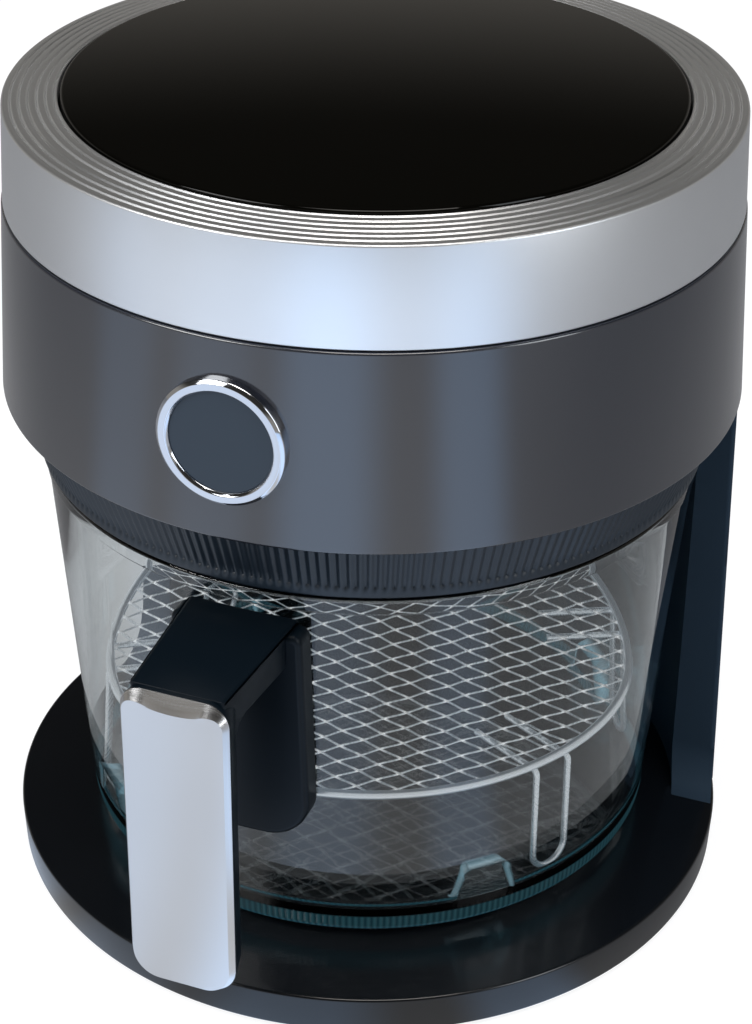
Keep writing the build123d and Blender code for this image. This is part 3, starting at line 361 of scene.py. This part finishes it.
nodeFinish = {
    "base_shell": "basePlastic", "base_bottom_plate": "underPlastic", "rubber_feet": "footRubber",
    "base_screws": "screwSteel", "column_shell": "columnPlastic", "column_back_cover": "columnPlastic",
    "cover_screws": "screwSteel", "column_screws": "screwSteel", "cord_gland": "glandRubber",
    "terminal_block": "nylonWhite", "wiring_harness": "cableSleeve", "switch_housing": "nylonWhite",
    "switch_plunger": "nylonWhite", "glass_bowl": "bowlGlass", "rack_rim": "rackSteel",
    "rack_mesh": "rackSteel", "rack_legs": "rackSteel", "handle_pad": "handlePlastic",
    "handle_gasket": "gasketSilicone", "handle_body": "handlePlastic", "handle_cover": "handleSilver",
    "handle_inner_plate": "sheetSteel", "handle_screws": "screwSteel", "arm_screws": "screwSteel",
    "lower_ring": "ringPlastic", "seal_ring": "gasketSilicone", "head_floor": "underPlastic",
    "head_housing": "housingPlastic", "housing_screws": "screwSteel", "seam_gasket": "gasketSilicone",
    "top_ring": "ringSilver", "touch_disc": "discGlass", "disc_carrier": "underPlastic",
    "control_board": "boardGreen", "badge_ring": "badgeChrome", "badge_disc": "badgeFace",
    "chamber_liner": "sheetSteel", "heater_dish": "sheetSteel", "heat_shield": "sheetSteel",
    "heating_element": "elementSteel", "heater_clips": "screwSteel", "heater_guard": "sheetSteel",
    "temperature_probe": "screwSteel", "motor_bracket": "sheetSteel", "bracket_screws": "screwSteel",
    "fan_motor": "motorSteel", "motor_shaft": "screwSteel", "convection_fan": "fanAluminium",
    "cooling_fan": "underPlastic", "fan_nut": "screwSteel", "power_board": "boardGreen",
    "board_posts": "nylonWhite",
}
for nodeName, finishName in nodeFinish.items():
    slots = nodes[nodeName].data.materials
    if not slots:
        slots.append(None)
    for index in range(len(slots)):
        slots[index] = finish[finishName]
print("materials assigned")


# shared shapes
def slopeRadius(line, z):
    # radius on a straight cone line of ((radius, height), (radius, height))
    (lowRadius, low), (highRadius, high) = line
    return lowRadius + (highRadius - lowRadius) * (z - low) / (high - low)


def scaled(points):
    return [(x * mm, y * mm, z * mm) for x, y, z in points]


def refined(loop, gap, test):
    # more points on the stretches of a closed loop that the test picks
    fine = []
    for index, here in enumerate(loop):
        there = loop[(index + 1) % len(loop)]
        fine.append(here)
        start, end = Vector(here), Vector(there)
        count = int((end - start).length / gap)
        for step in range(1, count + 1):
            point = start.lerp(end, step / (count + 1))
            if test(point.x, point.y):
                fine.append(tuple(point))
    return fine


def tubeMesh(path, radius, sides, closed=False):
    # round tube along a path of points; the ends are capped
    path = [Vector(point) for point in path]
    count = len(path)
    verts, faces = [], []
    along = (path[1] - path[0]).normalized()
    across = along.orthogonal().normalized()
    for index, point in enumerate(path):
        before = path[index - 1] if closed or index > 0 else point
        after = path[(index + 1) % count] if closed or index < count - 1 else point
        along = (after - before).normalized()
        across = (across - along * across.dot(along)).normalized()
        other = along.cross(across)
        for side in range(sides):
            turn = 2 * math.pi * side / sides
            verts.append(point + (across * math.cos(turn) + other * math.sin(turn)) * radius)
    for index in range(count if closed else count - 1):
        here, there = index * sides, ((index + 1) % count) * sides
        for side in range(sides):
            nextSide = (side + 1) % sides
            faces.append([here + side, here + nextSide, there + nextSide, there + side])
    if not closed:
        faces.append(list(range(sides - 1, -1, -1)))
        faces.append([(count - 1) * sides + side for side in range(sides)])
    return verts, faces


def joined(parts):
    # one list of vertices and faces out of several
    verts, faces = [], []
    for partVerts, partFaces in parts:
        start = len(verts)
        verts.extend(partVerts)
        faces.extend([start + index for index in face] for face in partFaces)
    return verts, faces


def bentPath(points, rounding, steps=6):
    # open path whose inner corners become curves
    path = [Vector(points[0])]
    for before, corner, after in zip(points, points[1:], points[2:]):
        before, corner, after = Vector(before), Vector(corner), Vector(after)
        reach = min(rounding, (before - corner).length / 2, (after - corner).length / 2)
        first = corner + (before - corner).normalized() * reach
        last = corner + (after - corner).normalized() * reach
        for step in range(steps + 1):
            share = step / steps
            path.append(first.lerp(corner, share).lerp(corner.lerp(last, share), share))
    path.append(Vector(points[-1]))
    return path


def insetLoop(loop, distance):
    # moves a counter-clockwise closed loop inwards
    least = 0.3  # keeps a sharp corner from running away
    moved = []
    count = len(loop)
    for index in range(count):
        before, here, after = (Vector(loop[(index + step) % count]) for step in (-1, 0, 1))
        first = (here - before).normalized()
        last = (after - here).normalized()
        normal = Vector((-first.y - last.y, first.x + last.x)).normalized()
        lean = max(least, normal.dot(Vector((-first.y, first.x))))
        moved.append(tuple(here + normal * (distance / lean)))
    return moved


def slabMesh(loop, low, high, rounding, place, steps=4, widen=1.0):
    # slab over a counter-clockwise loop with rounded edges; place turns (a, b, level) into (x, y, z)
    levels = []
    for step in range(steps + 1):
        turn = math.pi / 2 * step / steps
        levels.append((rounding * (1 - math.sin(turn)), low + rounding * (1 - math.cos(turn))))
    levels += [(inset, high + low - level) for inset, level in reversed(levels)]
    verts, faces = [], []
    count = len(loop)
    for inset, level in levels:
        verts.extend(place(a, b, level) for a, b in insetLoop(loop, inset * widen))
    for row in range(len(levels) - 1):
        for index in range(count):
            nextIndex = (index + 1) % count
            faces.append([row * count + index, row * count + nextIndex,
                          (row + 1) * count + nextIndex, (row + 1) * count + index])
    faces.append(list(range(count - 1, -1, -1)))
    faces.append([(len(levels) - 1) * count + index for index in range(count)])
    return verts, faces


# glass bowl, with four arched lugs moulded into the bottom corner
bowlSize = {"rimRadius": 126.0, "footRadius": 114.4, "bottom": 23.8, "floor": 32.0, "rim": 184.0, "wall": 4.5,
            "bead": 0.6, "beadHeight": 7.0, "beadRound": 0.5, "rimRound": 1.6, "outerCorner": 5.0,
            "innerCorner": 7.0}
bowlLine = ((bowlSize["footRadius"], bowlSize["bottom"]), (bowlSize["rimRadius"], bowlSize["rim"]))


def buildBowl():
    size = bowlSize
    lug = {"radius": 103.0, "half": 12.5, "lean": 3.5, "leanHeight": 12.0, "height": 17.0, "corner": 3.5,
           "edge": 1.1, "squeeze": 0.95, "before": 2.0, "above": 3.0, "glowBefore": 0.5, "slack": 0.01}
    mesh = {"turn": 13.0, "fine": 0.22, "coarse": 1.0, "gap": 0.5}  # degrees, and the gap in millimetres
    floor, rim, wall = size["floor"], size["rim"], size["wall"]
    beadLow = rim - size["beadHeight"]
    beadRadius = slopeRadius(bowlLine, beadLow)
    outline = [
        (0, size["bottom"], 0), (size["footRadius"], size["bottom"], size["outerCorner"]),
        (beadRadius, beadLow, size["beadRound"]),
        (beadRadius + size["bead"], beadLow + size["bead"], size["beadRound"]),
        (size["rimRadius"] + size["bead"], rim, size["rimRound"]),
        (size["rimRadius"] - wall, rim, size["rimRound"]),
        (slopeRadius(bowlLine, floor) - wall, floor, size["innerCorner"]), (0, floor, 0),
    ]

    def isInside(radius, z):
        return z > floor - lug["slack"] and radius < slopeRadius(bowlLine, z) - wall / 2

    def nearLugs(radius, z):
        beside = radius > lug["radius"] - lug["before"]
        return isInside(radius, z) and beside and z < floor + lug["height"] + lug["above"]

    def lugShare(angle, z):
        # 0 outside the arch, 1 on its face; a lug stands half way along each quarter
        sideways = abs(math.radians(math.degrees(angle) % 90 - 45)) * lug["radius"]
        height = z - floor
        beside = lug["half"] - lug["lean"] * min(1, height / lug["leanHeight"]) - sideways
        below = lug["height"] - height
        depth = min(beside, below)
        if beside < lug["corner"] and below < lug["corner"]:
            depth = lug["corner"] - math.hypot(lug["corner"] - beside, lug["corner"] - below)
        share = min(1, max(0, depth / lug["edge"]))
        return share * share * (3 - 2 * share)

    def warp(angle, radius, z):
        if not isInside(radius, z) or radius <= lug["radius"]:
            return radius, z
        return radius - (radius - lug["radius"]) * lug["squeeze"] * lugShare(angle, z), z

    angles, degree = [], 0.0
    while degree < 359.9:
        angles.append(math.radians(degree))
        degree += mesh["fine"] if abs(degree % 90 - 45) < mesh["turn"] else mesh["coarse"]
    loop = refined(roundedLoop(outline, steps=8), mesh["gap"], nearLugs)
    verts, faces = turnedMesh(loop, angles, warp)
    piece = newPiece("glassBowl", scaled(verts), faces, "bowl", finish["bowlGlass"],
                     ["glass_bowl"], smoothAngle=50)
    # share of the painted highlight that makes the glass glow along each lug edge
    lugGlints = piece.data.attributes.new("paintedLugGlint", "FLOAT", "POINT")
    for index, (x, y, z) in enumerate(verts):
        radius = math.hypot(x, y)
        if isInside(radius, z) and radius > lug["radius"] - lug["glowBefore"]:
            share = lugShare(math.atan2(x, -y), z)
            lugGlints.data[index].value = 4 * share * (1 - share)  # 1 half way up the edge


# lower ring of the head, with fine upright ribs and a flat cut where it meets the column
def buildLowerRing():
    size = {"bottom": 185.2, "lip": 189.2, "top": 210.8, "lowRadius": 128.0, "topRadius": 136.0,
            "mouth": 113.2, "wall": 3.0, "ribs": 240, "ribDepth": 0.9, "ribStart": 0.4, "ribSteps": 6,
            "rows": 5, "cutY": 44.7, "cutRadius": 127.5, "edge": 0.3, "edgeReach": 1.0}
    low, lip, top, wall = size["lowRadius"], size["lip"], size["top"], size["wall"]
    bottom, edge, ribFoot = size["bottom"], size["edge"], size["lip"] + size["ribStart"]
    flareLine = ((low, lip), (size["topRadius"], top))

    def warp(angle, radius, z):
        if radius > slopeRadius(flareLine, z) - edge and z > lip + size["ribStart"] / 2:
            wave = 0.5 + 0.5 * math.cos(angle * size["ribs"])
            radius -= size["ribDepth"] * (1 - wave)
        back = -math.cos(angle)
        if back > 0:
            radius = min(radius, max(size["cutRadius"], size["cutY"] / back))
        return radius, z

    loop = [(size["mouth"], bottom), (low - size["edgeReach"], bottom), (low - edge, bottom + edge),
            (low, bottom + size["edgeReach"]), (low, lip)]
    for step in range(size["rows"] + 1):
        z = ribFoot + (top - ribFoot) * step / size["rows"]
        loop.append((slopeRadius(flareLine, z), z))
    loop += [(size["topRadius"] - wall, top), (low - wall, lip), (low - wall, bottom + wall),
             (size["mouth"], bottom + wall)]
    verts, faces = turnedMesh(loop, size["ribs"] * size["ribSteps"], warp)
    newPiece("lowerRing", scaled(verts), faces, "stand", finish["ringPlastic"],
             ["lower_ring"], smoothAngle=60)


# wire rack: rim, woven wires and four wire hoops as legs
rackSize = {"level": 85.5, "rimRadius": 105.75, "rimWire": 3.5, "wire": 0.85, "legWire": 2.5,
            "legCircle": 106.0, "legWidth": 16.0, "legReach": 33.0, "legBend": 2.5, "legFoot": 33.0,
            "legAngle": 61.5, "legSink": 0.1}


def buildRackRim():
    radius, level = rackSize["rimRadius"], rackSize["level"]
    steps, sides = 240, 16
    turns = [2 * math.pi * step / steps for step in range(steps)]
    ring = [(radius * math.sin(turn), -radius * math.cos(turn), level) for turn in turns]
    verts, faces = tubeMesh(ring, rackSize["rimWire"] / 2, sides, closed=True)
    newPiece("rackRim", scaled(verts), faces, "rack", finish["rackSteel"], ["rack_rim"])


def buildRackMesh():
    # two families of wires that pass over and under each other
    families = [{"turn": 47.4, "pitch": 8.3, "shift": 0.46}, {"turn": -17.5, "pitch": 8.04, "shift": -0.11}]
    values = {"lift": 0.22, "step": 2.0, "sides": 6, "edge": 1.0, "glintPower": 10}
    reach = rackSize["rimRadius"]
    for family in families:
        turn = math.radians(family["turn"])
        family["along"] = Vector((math.cos(turn), math.sin(turn), 0))
        family["across"] = Vector((-math.sin(turn), math.cos(turn), 0))
    parts, crossingGlints = [], []
    for family, other, sign in ((families[0], families[1], 1), (families[1], families[0], -1)):
        count = int(reach / family["pitch"])
        for number in range(-count, count + 1):
            offset = (number + family["shift"]) * family["pitch"]
            if abs(offset) > reach - values["edge"]:
                continue
            half = math.sqrt(reach ** 2 - offset ** 2)
            steps = max(2, int(2 * half / values["step"]))
            path = []
            for step in range(steps + 1):
                point = family["across"] * offset + family["along"] * (half * (2 * step / steps - 1))
                crossing = point.dot(other["across"]) / other["pitch"] - other["shift"]
                wave = math.cos(math.pi * (crossing + number))
                point.z = rackSize["level"] + sign * values["lift"] * wave
                path.append(point)
                # share of the painted glint, highest where the wires cross
                crossingGlints += [wave ** values["glintPower"]] * values["sides"]
            parts.append(tubeMesh(path, rackSize["wire"] / 2, values["sides"]))
    verts, faces = joined(parts)
    piece = newPiece("rackMesh", scaled(verts), faces, "rack", finish["rackSteel"],
                     ["rack_mesh"], smoothAngle=80)
    piece.data.attributes.new("paintedCrossingGlint", "FLOAT", "POINT").data.foreach_set("value", crossingGlints)


def buildRackLegs():
    half, out = rackSize["legWidth"] / 2, -rackSize["legCircle"]
    steps, sides = 20, 12
    top = rackSize["level"] - (rackSize["rimWire"] + rackSize["legWire"]) / 2 + rackSize["legSink"]
    low = rackSize["legFoot"] + rackSize["legWire"] / 2
    back = out + rackSize["legReach"]
    upper = bentPath([(-half, back, top), (-half, out, top), (-half, out, low + half)], rackSize["legBend"])
    foot = []
    for step in range(1, steps):
        turn = math.pi * step / steps
        foot.append(Vector((-half * math.cos(turn), out, low + half * (1 - math.sin(turn)))))
    hoop = upper + foot + [Vector((-point.x, point.y, point.z)) for point in reversed(upper)]
    parts = []
    aside = rackSize["legAngle"]
    for angle in (aside, 180 - aside, 180 + aside, -aside):
        spin = Matrix.Rotation(math.radians(angle), 3, "Z")
        parts.append(tubeMesh([spin @ point for point in hoop], rackSize["legWire"] / 2, sides))
    verts, faces = joined(parts)
    newPiece("rackLegs", scaled(verts), faces, "rack", finish["rackSteel"], ["rack_legs"])


# handle: dark body with a crowned silver cover in front
handleSize = {"front": -184.5, "coverBack": -181.5, "back": -170.5, "top": 173.5, "bottom": 47.5,
              "half": 20.5, "backHalf": 17.5, "rootHalf": 21.0, "armBottom": 158.5, "padFront": -134.6,
              "padTop": 171.6, "glass": -125.6, "round": 1.5, "lowCorner": 12.0, "topCorner": 9.0,
              "bend": 8.0, "gripRound": 0.6, "gripDrop": 0.25, "overlap": 0.3, "inside": 2.0, "web": 16.0,
              "armEdge": 0.4, "padSlack": 0.5}


def buildHandleBody():
    size = handleSize
    half, low, high = size["half"], size["bottom"], size["top"]
    gripTop = high - size["gripDrop"]
    grip = roundedLoop([(-half, low, size["lowCorner"]), (half, low, size["lowCorner"]),
                        (half, gripTop, size["topCorner"]), (-half, gripTop, size["topCorner"])], steps=10)

    def placeGrip(across, up, level):
        share = (level - size["coverBack"]) / (size["back"] - size["coverBack"])
        return across * (1 + (size["backHalf"] / half - 1) * share), level, up

    def placeArm(out, up, level):
        share = max(0, (out - size["back"]) / (size["glass"] - size["back"]))
        across = level * (size["backHalf"] + (size["rootHalf"] - size["backHalf"]) * share)
        if out > size["padFront"] - size["padSlack"]:  # this end follows the round pad
            out = -math.sqrt(out ** 2 - across ** 2)
        return across, out, up

    gripPart = slabMesh(grip, size["coverBack"], size["back"], size["gripRound"], placeGrip)
    inside, gripBack = size["coverBack"] + size["inside"], size["back"] + size["overlap"]
    under, web = size["armBottom"], size["armBottom"] - size["web"]
    arm = roundedLoop([(inside, web, 0), (gripBack, web, 0), (gripBack, under, size["bend"]),
                       (size["padFront"], under, 0), (size["padFront"], size["padTop"], 0),
                       (size["glass"], size["padTop"], 0), (size["glass"], high, size["armEdge"]),
                       (inside, high, size["armEdge"])], steps=8)
    armPart = slabMesh(arm, -1, 1, size["round"] / size["backHalf"], placeArm, widen=size["backHalf"])
    verts, faces = joined([gripPart, armPart])
    newPiece("handleBody", scaled(verts), faces, "bowl", finish["handlePlastic"],
             ["handle_body"])


def buildHandleCover():
    # the outline's rings run from the back over a steep facet, a lens at the top, to the crowned face;
    # each facet is (inset, depth behind the front, share of the lens)
    size = {"half": 20.2, "low": 47.8, "high": 173.2, "lowCorner": 11.7, "topCorner": 8.7, "crown": 0.6,
            "lens": 4.2, "gap": 1.4, "facets": [(0.0, 2.98, 0), (0.0, 2.9, 0), (1.5, 0.25, 1), (1.9, 0.0, 1)],
            "face": [0.97, 0.92, 0.84, 0.7, 0.5, 0.25]}
    half, low, high = size["half"], size["low"], size["high"]
    front = handleSize["front"]
    corners = [(-half, low, size["lowCorner"]), (half, low, size["lowCorner"]),
               (half, high, size["topCorner"]), (-half, high, size["topCorner"])]
    outline = refined(roundedLoop(corners, steps=14), size["gap"], lambda across, up: True)
    rings = []
    for inset, drop, sag in size["facets"]:
        ring = []
        for x, z in insetLoop(outline, inset):
            rise = min(1, max(0, 1 - (high - inset - z) / size["topCorner"]))
            z -= size["lens"] * sag * rise * (1 - (x / half) ** 2)
            ring.append((x, front + max(drop, size["crown"] * (x / half) ** 2), z))
        rings.append(ring)
    middle = (low + high) / 2
    edge = rings[-1]
    for share in size["face"]:
        rings.append([(x * share, front + size["crown"] * (x * share / half) ** 2,
                       middle + (z - middle) * share) for x, y, z in edge])
    count = len(outline)
    verts = [point for ring in rings for point in ring] + [(0, front, middle)]
    faces = [list(range(count - 1, -1, -1))]
    for row in range(len(rings) - 1):
        for index in range(count):
            corner, beside = row * count + index, row * count + (index + 1) % count
            faces.append([corner, beside, beside + count, corner + count])
    last = (len(rings) - 1) * count
    faces += [[last + index, last + (index + 1) % count, len(verts) - 1] for index in range(count)]
    newPiece("handleCover", scaled(verts), faces, "bowl", finish["handleSilver"],
             ["handle_cover"], smoothAngle=14)


# turned shells: base, housing, top ring and disc
def buildShell(name, outline, material, node, steps=6, segments=360):
    # outline of (radius, height, rounding) in millimetres
    verts, faces = turnedMesh(roundedLoop(outline, steps), segments)
    newPiece(name, scaled(verts), faces, "stand", finish[material], [node])


def buildBase():
    size = {"radius": 145.4, "sole": 144.7, "hollow": 142.2, "foot": 1.5, "top": 17.5, "under": 15.0,
            "edge": 1.2, "step": 104.0, "stepTop": 23.5, "stepEdge": 2.0, "well": 101.5, "wellTop": 21.0}
    top, foot, edge = size["top"], size["foot"], size["edge"]
    buildShell("baseShell", [
        (0, size["wellTop"], 0), (size["well"], size["wellTop"], 0), (size["well"], size["under"], 0),
        (size["hollow"], size["under"], 0), (size["hollow"], foot, 0), (size["sole"], foot, edge),
        (size["radius"], top, edge), (size["step"], top, edge),
        (size["step"], size["stepTop"], size["stepEdge"]), (0, size["stepTop"], 0),
    ], "basePlastic", "base_shell")


housingSize = {"low": 210.8, "high": 284.6, "lowRadius": 140.5, "highRadius": 136.3, "wall": 3.0,
               "lip": 126.3, "edge": 1.0}
housingLine = ((housingSize["lowRadius"], housingSize["low"]),
               (housingSize["highRadius"], housingSize["high"]))


def buildHousing():
    size = housingSize
    low, high, wall, edge = size["low"], size["high"], size["wall"], size["edge"]
    buildShell("headHousing", [
        (size["lowRadius"] - wall, low, 0), (size["lowRadius"], low, edge), (size["highRadius"], high, edge),
        (size["lip"], high, 0), (size["lip"], high - wall, 0), (size["highRadius"] - wall, high - wall, 0),
    ], "housingPlastic", "head_housing")


def buildTopRing():
    # silver ring whose top rises a little inwards and has turned grooves
    size = {"outer": 134.0, "top": 321.5, "inner": 113.9, "rise": 1.5, "low": 285.1, "lowRadius": 135.9,
            "edge": 0.9, "lip": 127.4, "lipHeight": 2.5, "wall": 2.6, "under": 318.0, "innerEdge": 0.2}
    groove = {"pitch": 3.17, "count": 6, "half": 0.6, "depth": 0.6, "rimRound": 0.08, "footRound": 0.1}
    outer, inner, lip, lipTop = size["outer"], size["inner"], size["lip"], size["low"] + size["lipHeight"]

    def topFace(radius):
        return size["top"] + size["rise"] * (outer - radius) / (outer - inner)

    outline = [(lip, size["low"], 0), (size["lowRadius"], size["low"], size["edge"]),
               (outer, size["top"], size["edge"])]
    for number in range(1, groove["count"] + 1):
        middle, half = outer - groove["pitch"] * number, groove["half"]
        outline += [(middle + half, topFace(middle + half), groove["rimRound"]),
                    (middle, topFace(middle) - groove["depth"], groove["footRound"]),
                    (middle - half, topFace(middle - half), groove["rimRound"])]
    outline += [(inner, topFace(inner), size["innerEdge"]), (inner, size["under"], 0),
                (outer - size["wall"], size["under"], 0), (size["lowRadius"] - size["wall"], lipTop, 0),
                (lip, lipTop, 0)]
    buildShell("topRing", outline, "ringSilver", "top_ring", steps=4)


def buildDisc():
    size = {"radius": 113.0, "low": 321.2, "high": 324.0, "edge": 1.2}
    buildShell("touchDisc", [
        (0, size["low"], 0), (size["radius"], size["low"], 0), (size["radius"], size["high"], size["edge"]),
        (0, size["high"], 0),
    ], "discGlass", "touch_disc")


# badge ring on the sloping front of the housing
def buildBadgeRing():
    size = {"height": 248.0, "radius": 23.5, "width": 4.6, "proud": 2.8, "back": -2.4, "step": 1.7,
            "outSlope": 1.3, "inSlope": 0.9, "outRound": 0.7, "outCrest": 0.5, "inCrest": 0.8, "inRound": 0.6,
            "segments": 144}
    radius, inner, proud = size["radius"], size["radius"] - size["width"], size["proud"]
    outline = [(inner, size["back"], 0), (radius, size["back"], 0), (radius, size["step"], size["outRound"]),
               (radius - size["outSlope"], proud, size["outCrest"]),
               (inner + size["inSlope"], proud, size["inCrest"]), (inner, size["step"], size["inRound"])]
    verts, faces = turnedMesh(roundedLoop(outline, steps=5), size["segments"])
    front = slopeRadius(housingLine, size["height"])
    verts = [(x, -(z + front), y + size["height"]) for x, y, z in verts]
    newPiece("badgeRing", scaled(verts), faces, "stand", finish["badgeChrome"],
             ["badge_ring"], smoothAngle=40)


buildBowl()
buildLowerRing()
buildRackRim()
buildRackMesh()
buildRackLegs()
buildHandleBody()
buildHandleCover()
buildBadgeRing()
buildBase()
buildHousing()
buildTopRing()
buildDisc()
print("pieces built")


# camera at the photograph's viewing angle: degrees, millimetres, and near in metres
view = {"side": 21.0, "down": 31.13, "roll": 0.6, "radius": 839.8, "height": 650.3, "lens": 86.77,
        "sensor": 36.0, "shift": 0.0048, "near": 0.01}


def placeCamera():
    side, down, roll = (math.radians(view[key]) for key in ("side", "down", "roll"))
    forward = Vector((-math.sin(side) * math.cos(down), math.cos(side) * math.cos(down), -math.sin(down)))
    right = Vector((math.cos(side), math.sin(side), 0))
    up = right.cross(forward)
    xAxis = math.cos(roll) * right + math.sin(roll) * up
    yAxis = math.cos(roll) * up - math.sin(roll) * right
    camera = bpy.data.objects.new("camera", bpy.data.cameras.new("camera"))
    bpy.context.scene.collection.objects.link(camera)
    place = Matrix((xAxis, yAxis, -forward)).transposed().to_4x4()
    place.translation = Vector((math.sin(side) * view["radius"], -math.cos(side) * view["radius"],
                                view["height"])) * mm
    camera.matrix_world = place
    camera.data.sensor_width = view["sensor"]
    camera.data.lens = view["lens"]
    camera.data.shift_x = view["shift"]
    camera.data.clip_start = view["near"]
    bpy.context.scene.camera = camera


placeCamera()


# plain floor, white surroundings and soft lamps
def mirrored(tree, path):
    # 1 for rays off a glossy face, 0 for those that only pass through glass
    difference = mathNode(tree, "SUBTRACT", path["Is Glossy Ray"], path["Is Transmission Ray"])
    return mathNode(tree, "MAXIMUM", difference, 0.0)


def buildWorld():
    # white to the camera, dimmer through glass, and a bright horizon under a dark ceiling in reflections
    values = {"fill": 0.5, "clear": 0.35, "horizon": 0.28, "ceiling": 0.028, "edgeLow": 0.18,
              "edgeHigh": 0.43, "warm": (1.0, 0.94, 0.85)}
    world = bpy.data.worlds.new("studio")
    bpy.context.scene.world = world
    world.use_nodes = True
    tree = world.node_tree
    path = newNode(tree, "ShaderNodeLightPath", {})
    height = partsNode(tree, pointNode(tree, "Generated"))["Z"]
    sky = mapNode(tree, height, values["edgeLow"], values["edgeHigh"], values["horizon"], values["ceiling"],
                  "SMOOTHSTEP")
    glossy = mirrored(tree, path)
    through = mathNode(tree, "MULTIPLY", path["Is Transmission Ray"], values["clear"])
    seen = mathNode(tree, "MAXIMUM", path["Is Camera Ray"], through)
    around = mixNode(tree, glossy, values["fill"], sky, "FLOAT")
    feed(tree, tree.nodes["Background"], {
        "Color": mixNode(tree, glossy, (1, 1, 1), values["warm"]),
        "Strength": mathNode(tree, "MAXIMUM", around, seen),
    })


def softBand(tree, angle, centre, half, height):
    # smooth hump over one stretch of angles, in degrees
    flat, end = 0.35, 1.3  # shares of half up to which it is level, and where it ends
    away = mathNode(tree, "ABSOLUTE", mathNode(tree, "SUBTRACT", angle, math.radians(centre)))
    return mapNode(tree, away, math.radians(half) * flat, math.radians(half) * end, height, 0.0, "SMOOTHSTEP")


def buildFloor():
    # near white to the camera, so that a shadow shows; in reflections a dim table with a few lit stretches,
    # each given as (angle, half width, strength)
    values = {"half": 6.0, "albedo": (0.2, 0.205, 0.22), "rough": 0.9, "white": 0.88, "clear": 0.35,
              "table": 0.075, "wide": (0, 70, 0.33),
              "bands": [(-22, 13, 0.35), (9, 15, 0.8), (47, 10.5, 0.75), (-50, 11, 0.3)],
              "bandColour": (0.34, 0.6, 1.0)}
    half = values["half"]
    mesh = bpy.data.meshes.new("floor")
    corners = [(-half, -half, 0), (half, -half, 0), (half, half, 0), (-half, half, 0)]
    mesh.from_pydata(corners, [], [(0, 1, 2, 3)])
    floor = bpy.data.objects.new("floor", mesh)
    bpy.context.scene.collection.objects.link(floor)
    material, tree, shader = startMaterial("paleFloor")
    feed(tree, shader, {"Base Color": values["albedo"], "Roughness": values["rough"],
                        "Specular IOR Level": 0.0})
    path = newNode(tree, "ShaderNodeLightPath", {})
    parts = partsNode(tree, pointNode(tree))
    angle = mathNode(tree, "ARCTAN2", parts["X"], mathNode(tree, "MULTIPLY", parts["Y"], -1.0))
    table = mathNode(tree, "ADD", softBand(tree, angle, *values["wide"]), values["table"])
    bands = 0.0
    for band in values["bands"]:
        bands = mathNode(tree, "ADD", softBand(tree, angle, *band), bands)
    glossy = mirrored(tree, path)
    seen = mathNode(tree, "MAXIMUM", mathNode(tree, "MULTIPLY", path["Is Camera Ray"], values["white"]),
                    mathNode(tree, "MULTIPLY", path["Is Transmission Ray"], values["clear"]))
    plain = mathNode(tree, "MAXIMUM", seen, mathNode(tree, "MULTIPLY", table, glossy))
    lit = mathNode(tree, "MULTIPLY", bands, glossy)
    surface = shader.outputs[0]
    for strength, colour in ((plain, (1, 1, 1)), (lit, values["bandColour"])):
        glow = newNode(tree, "ShaderNodeEmission", {"Color": colour, "Strength": strength})[0]
        surface = newNode(tree, "ShaderNodeAddShader", {0: surface, 1: glow})[0]
    feed(tree, tree.nodes["Material Output"], {"Surface": surface})
    mesh.materials.append(material)


lamps = {
    "keyLamp": {"place": (-0.9, -1.2, 1.5), "aim": (0, 0, 0.2), "size": (0.9, 0.9), "power": 16.0,
                "colour": (1, 1, 1)},
    "topLamp": {"place": (0.2, -0.3, 1.8), "aim": (0, 0, 0.3), "size": (0.8, 0.8), "power": 10.0,
                "colour": (1.0, 0.95, 0.9)},
    "sideLamp": {"place": (1.4, -0.5, 0.8), "aim": (0, 0, 0.15), "size": (0.5, 1.0), "power": 6.0,
                 "colour": (0.9, 0.95, 1.0)},
}


def buildLamp(name, place, aim, size, power, colour):
    lamp = bpy.data.lights.new(name, "AREA")
    lamp.shape = "RECTANGLE"
    lamp.size, lamp.size_y = size
    lamp.energy = power
    lamp.color = colour
    holder = bpy.data.objects.new(name, lamp)
    bpy.context.scene.collection.objects.link(holder)
    holder.location = place
    holder.rotation_euler = (Vector(aim) - Vector(place)).to_track_quat("-Z", "Y").to_euler()
    holder.visible_camera = False
    holder.visible_transmission = False


bpy.context.scene.view_settings.view_transform = "Standard"
buildWorld()
buildFloor()
for lampName, lampValues in lamps.items():
    buildLamp(lampName, **lampValues)
print("stage and lamps placed")
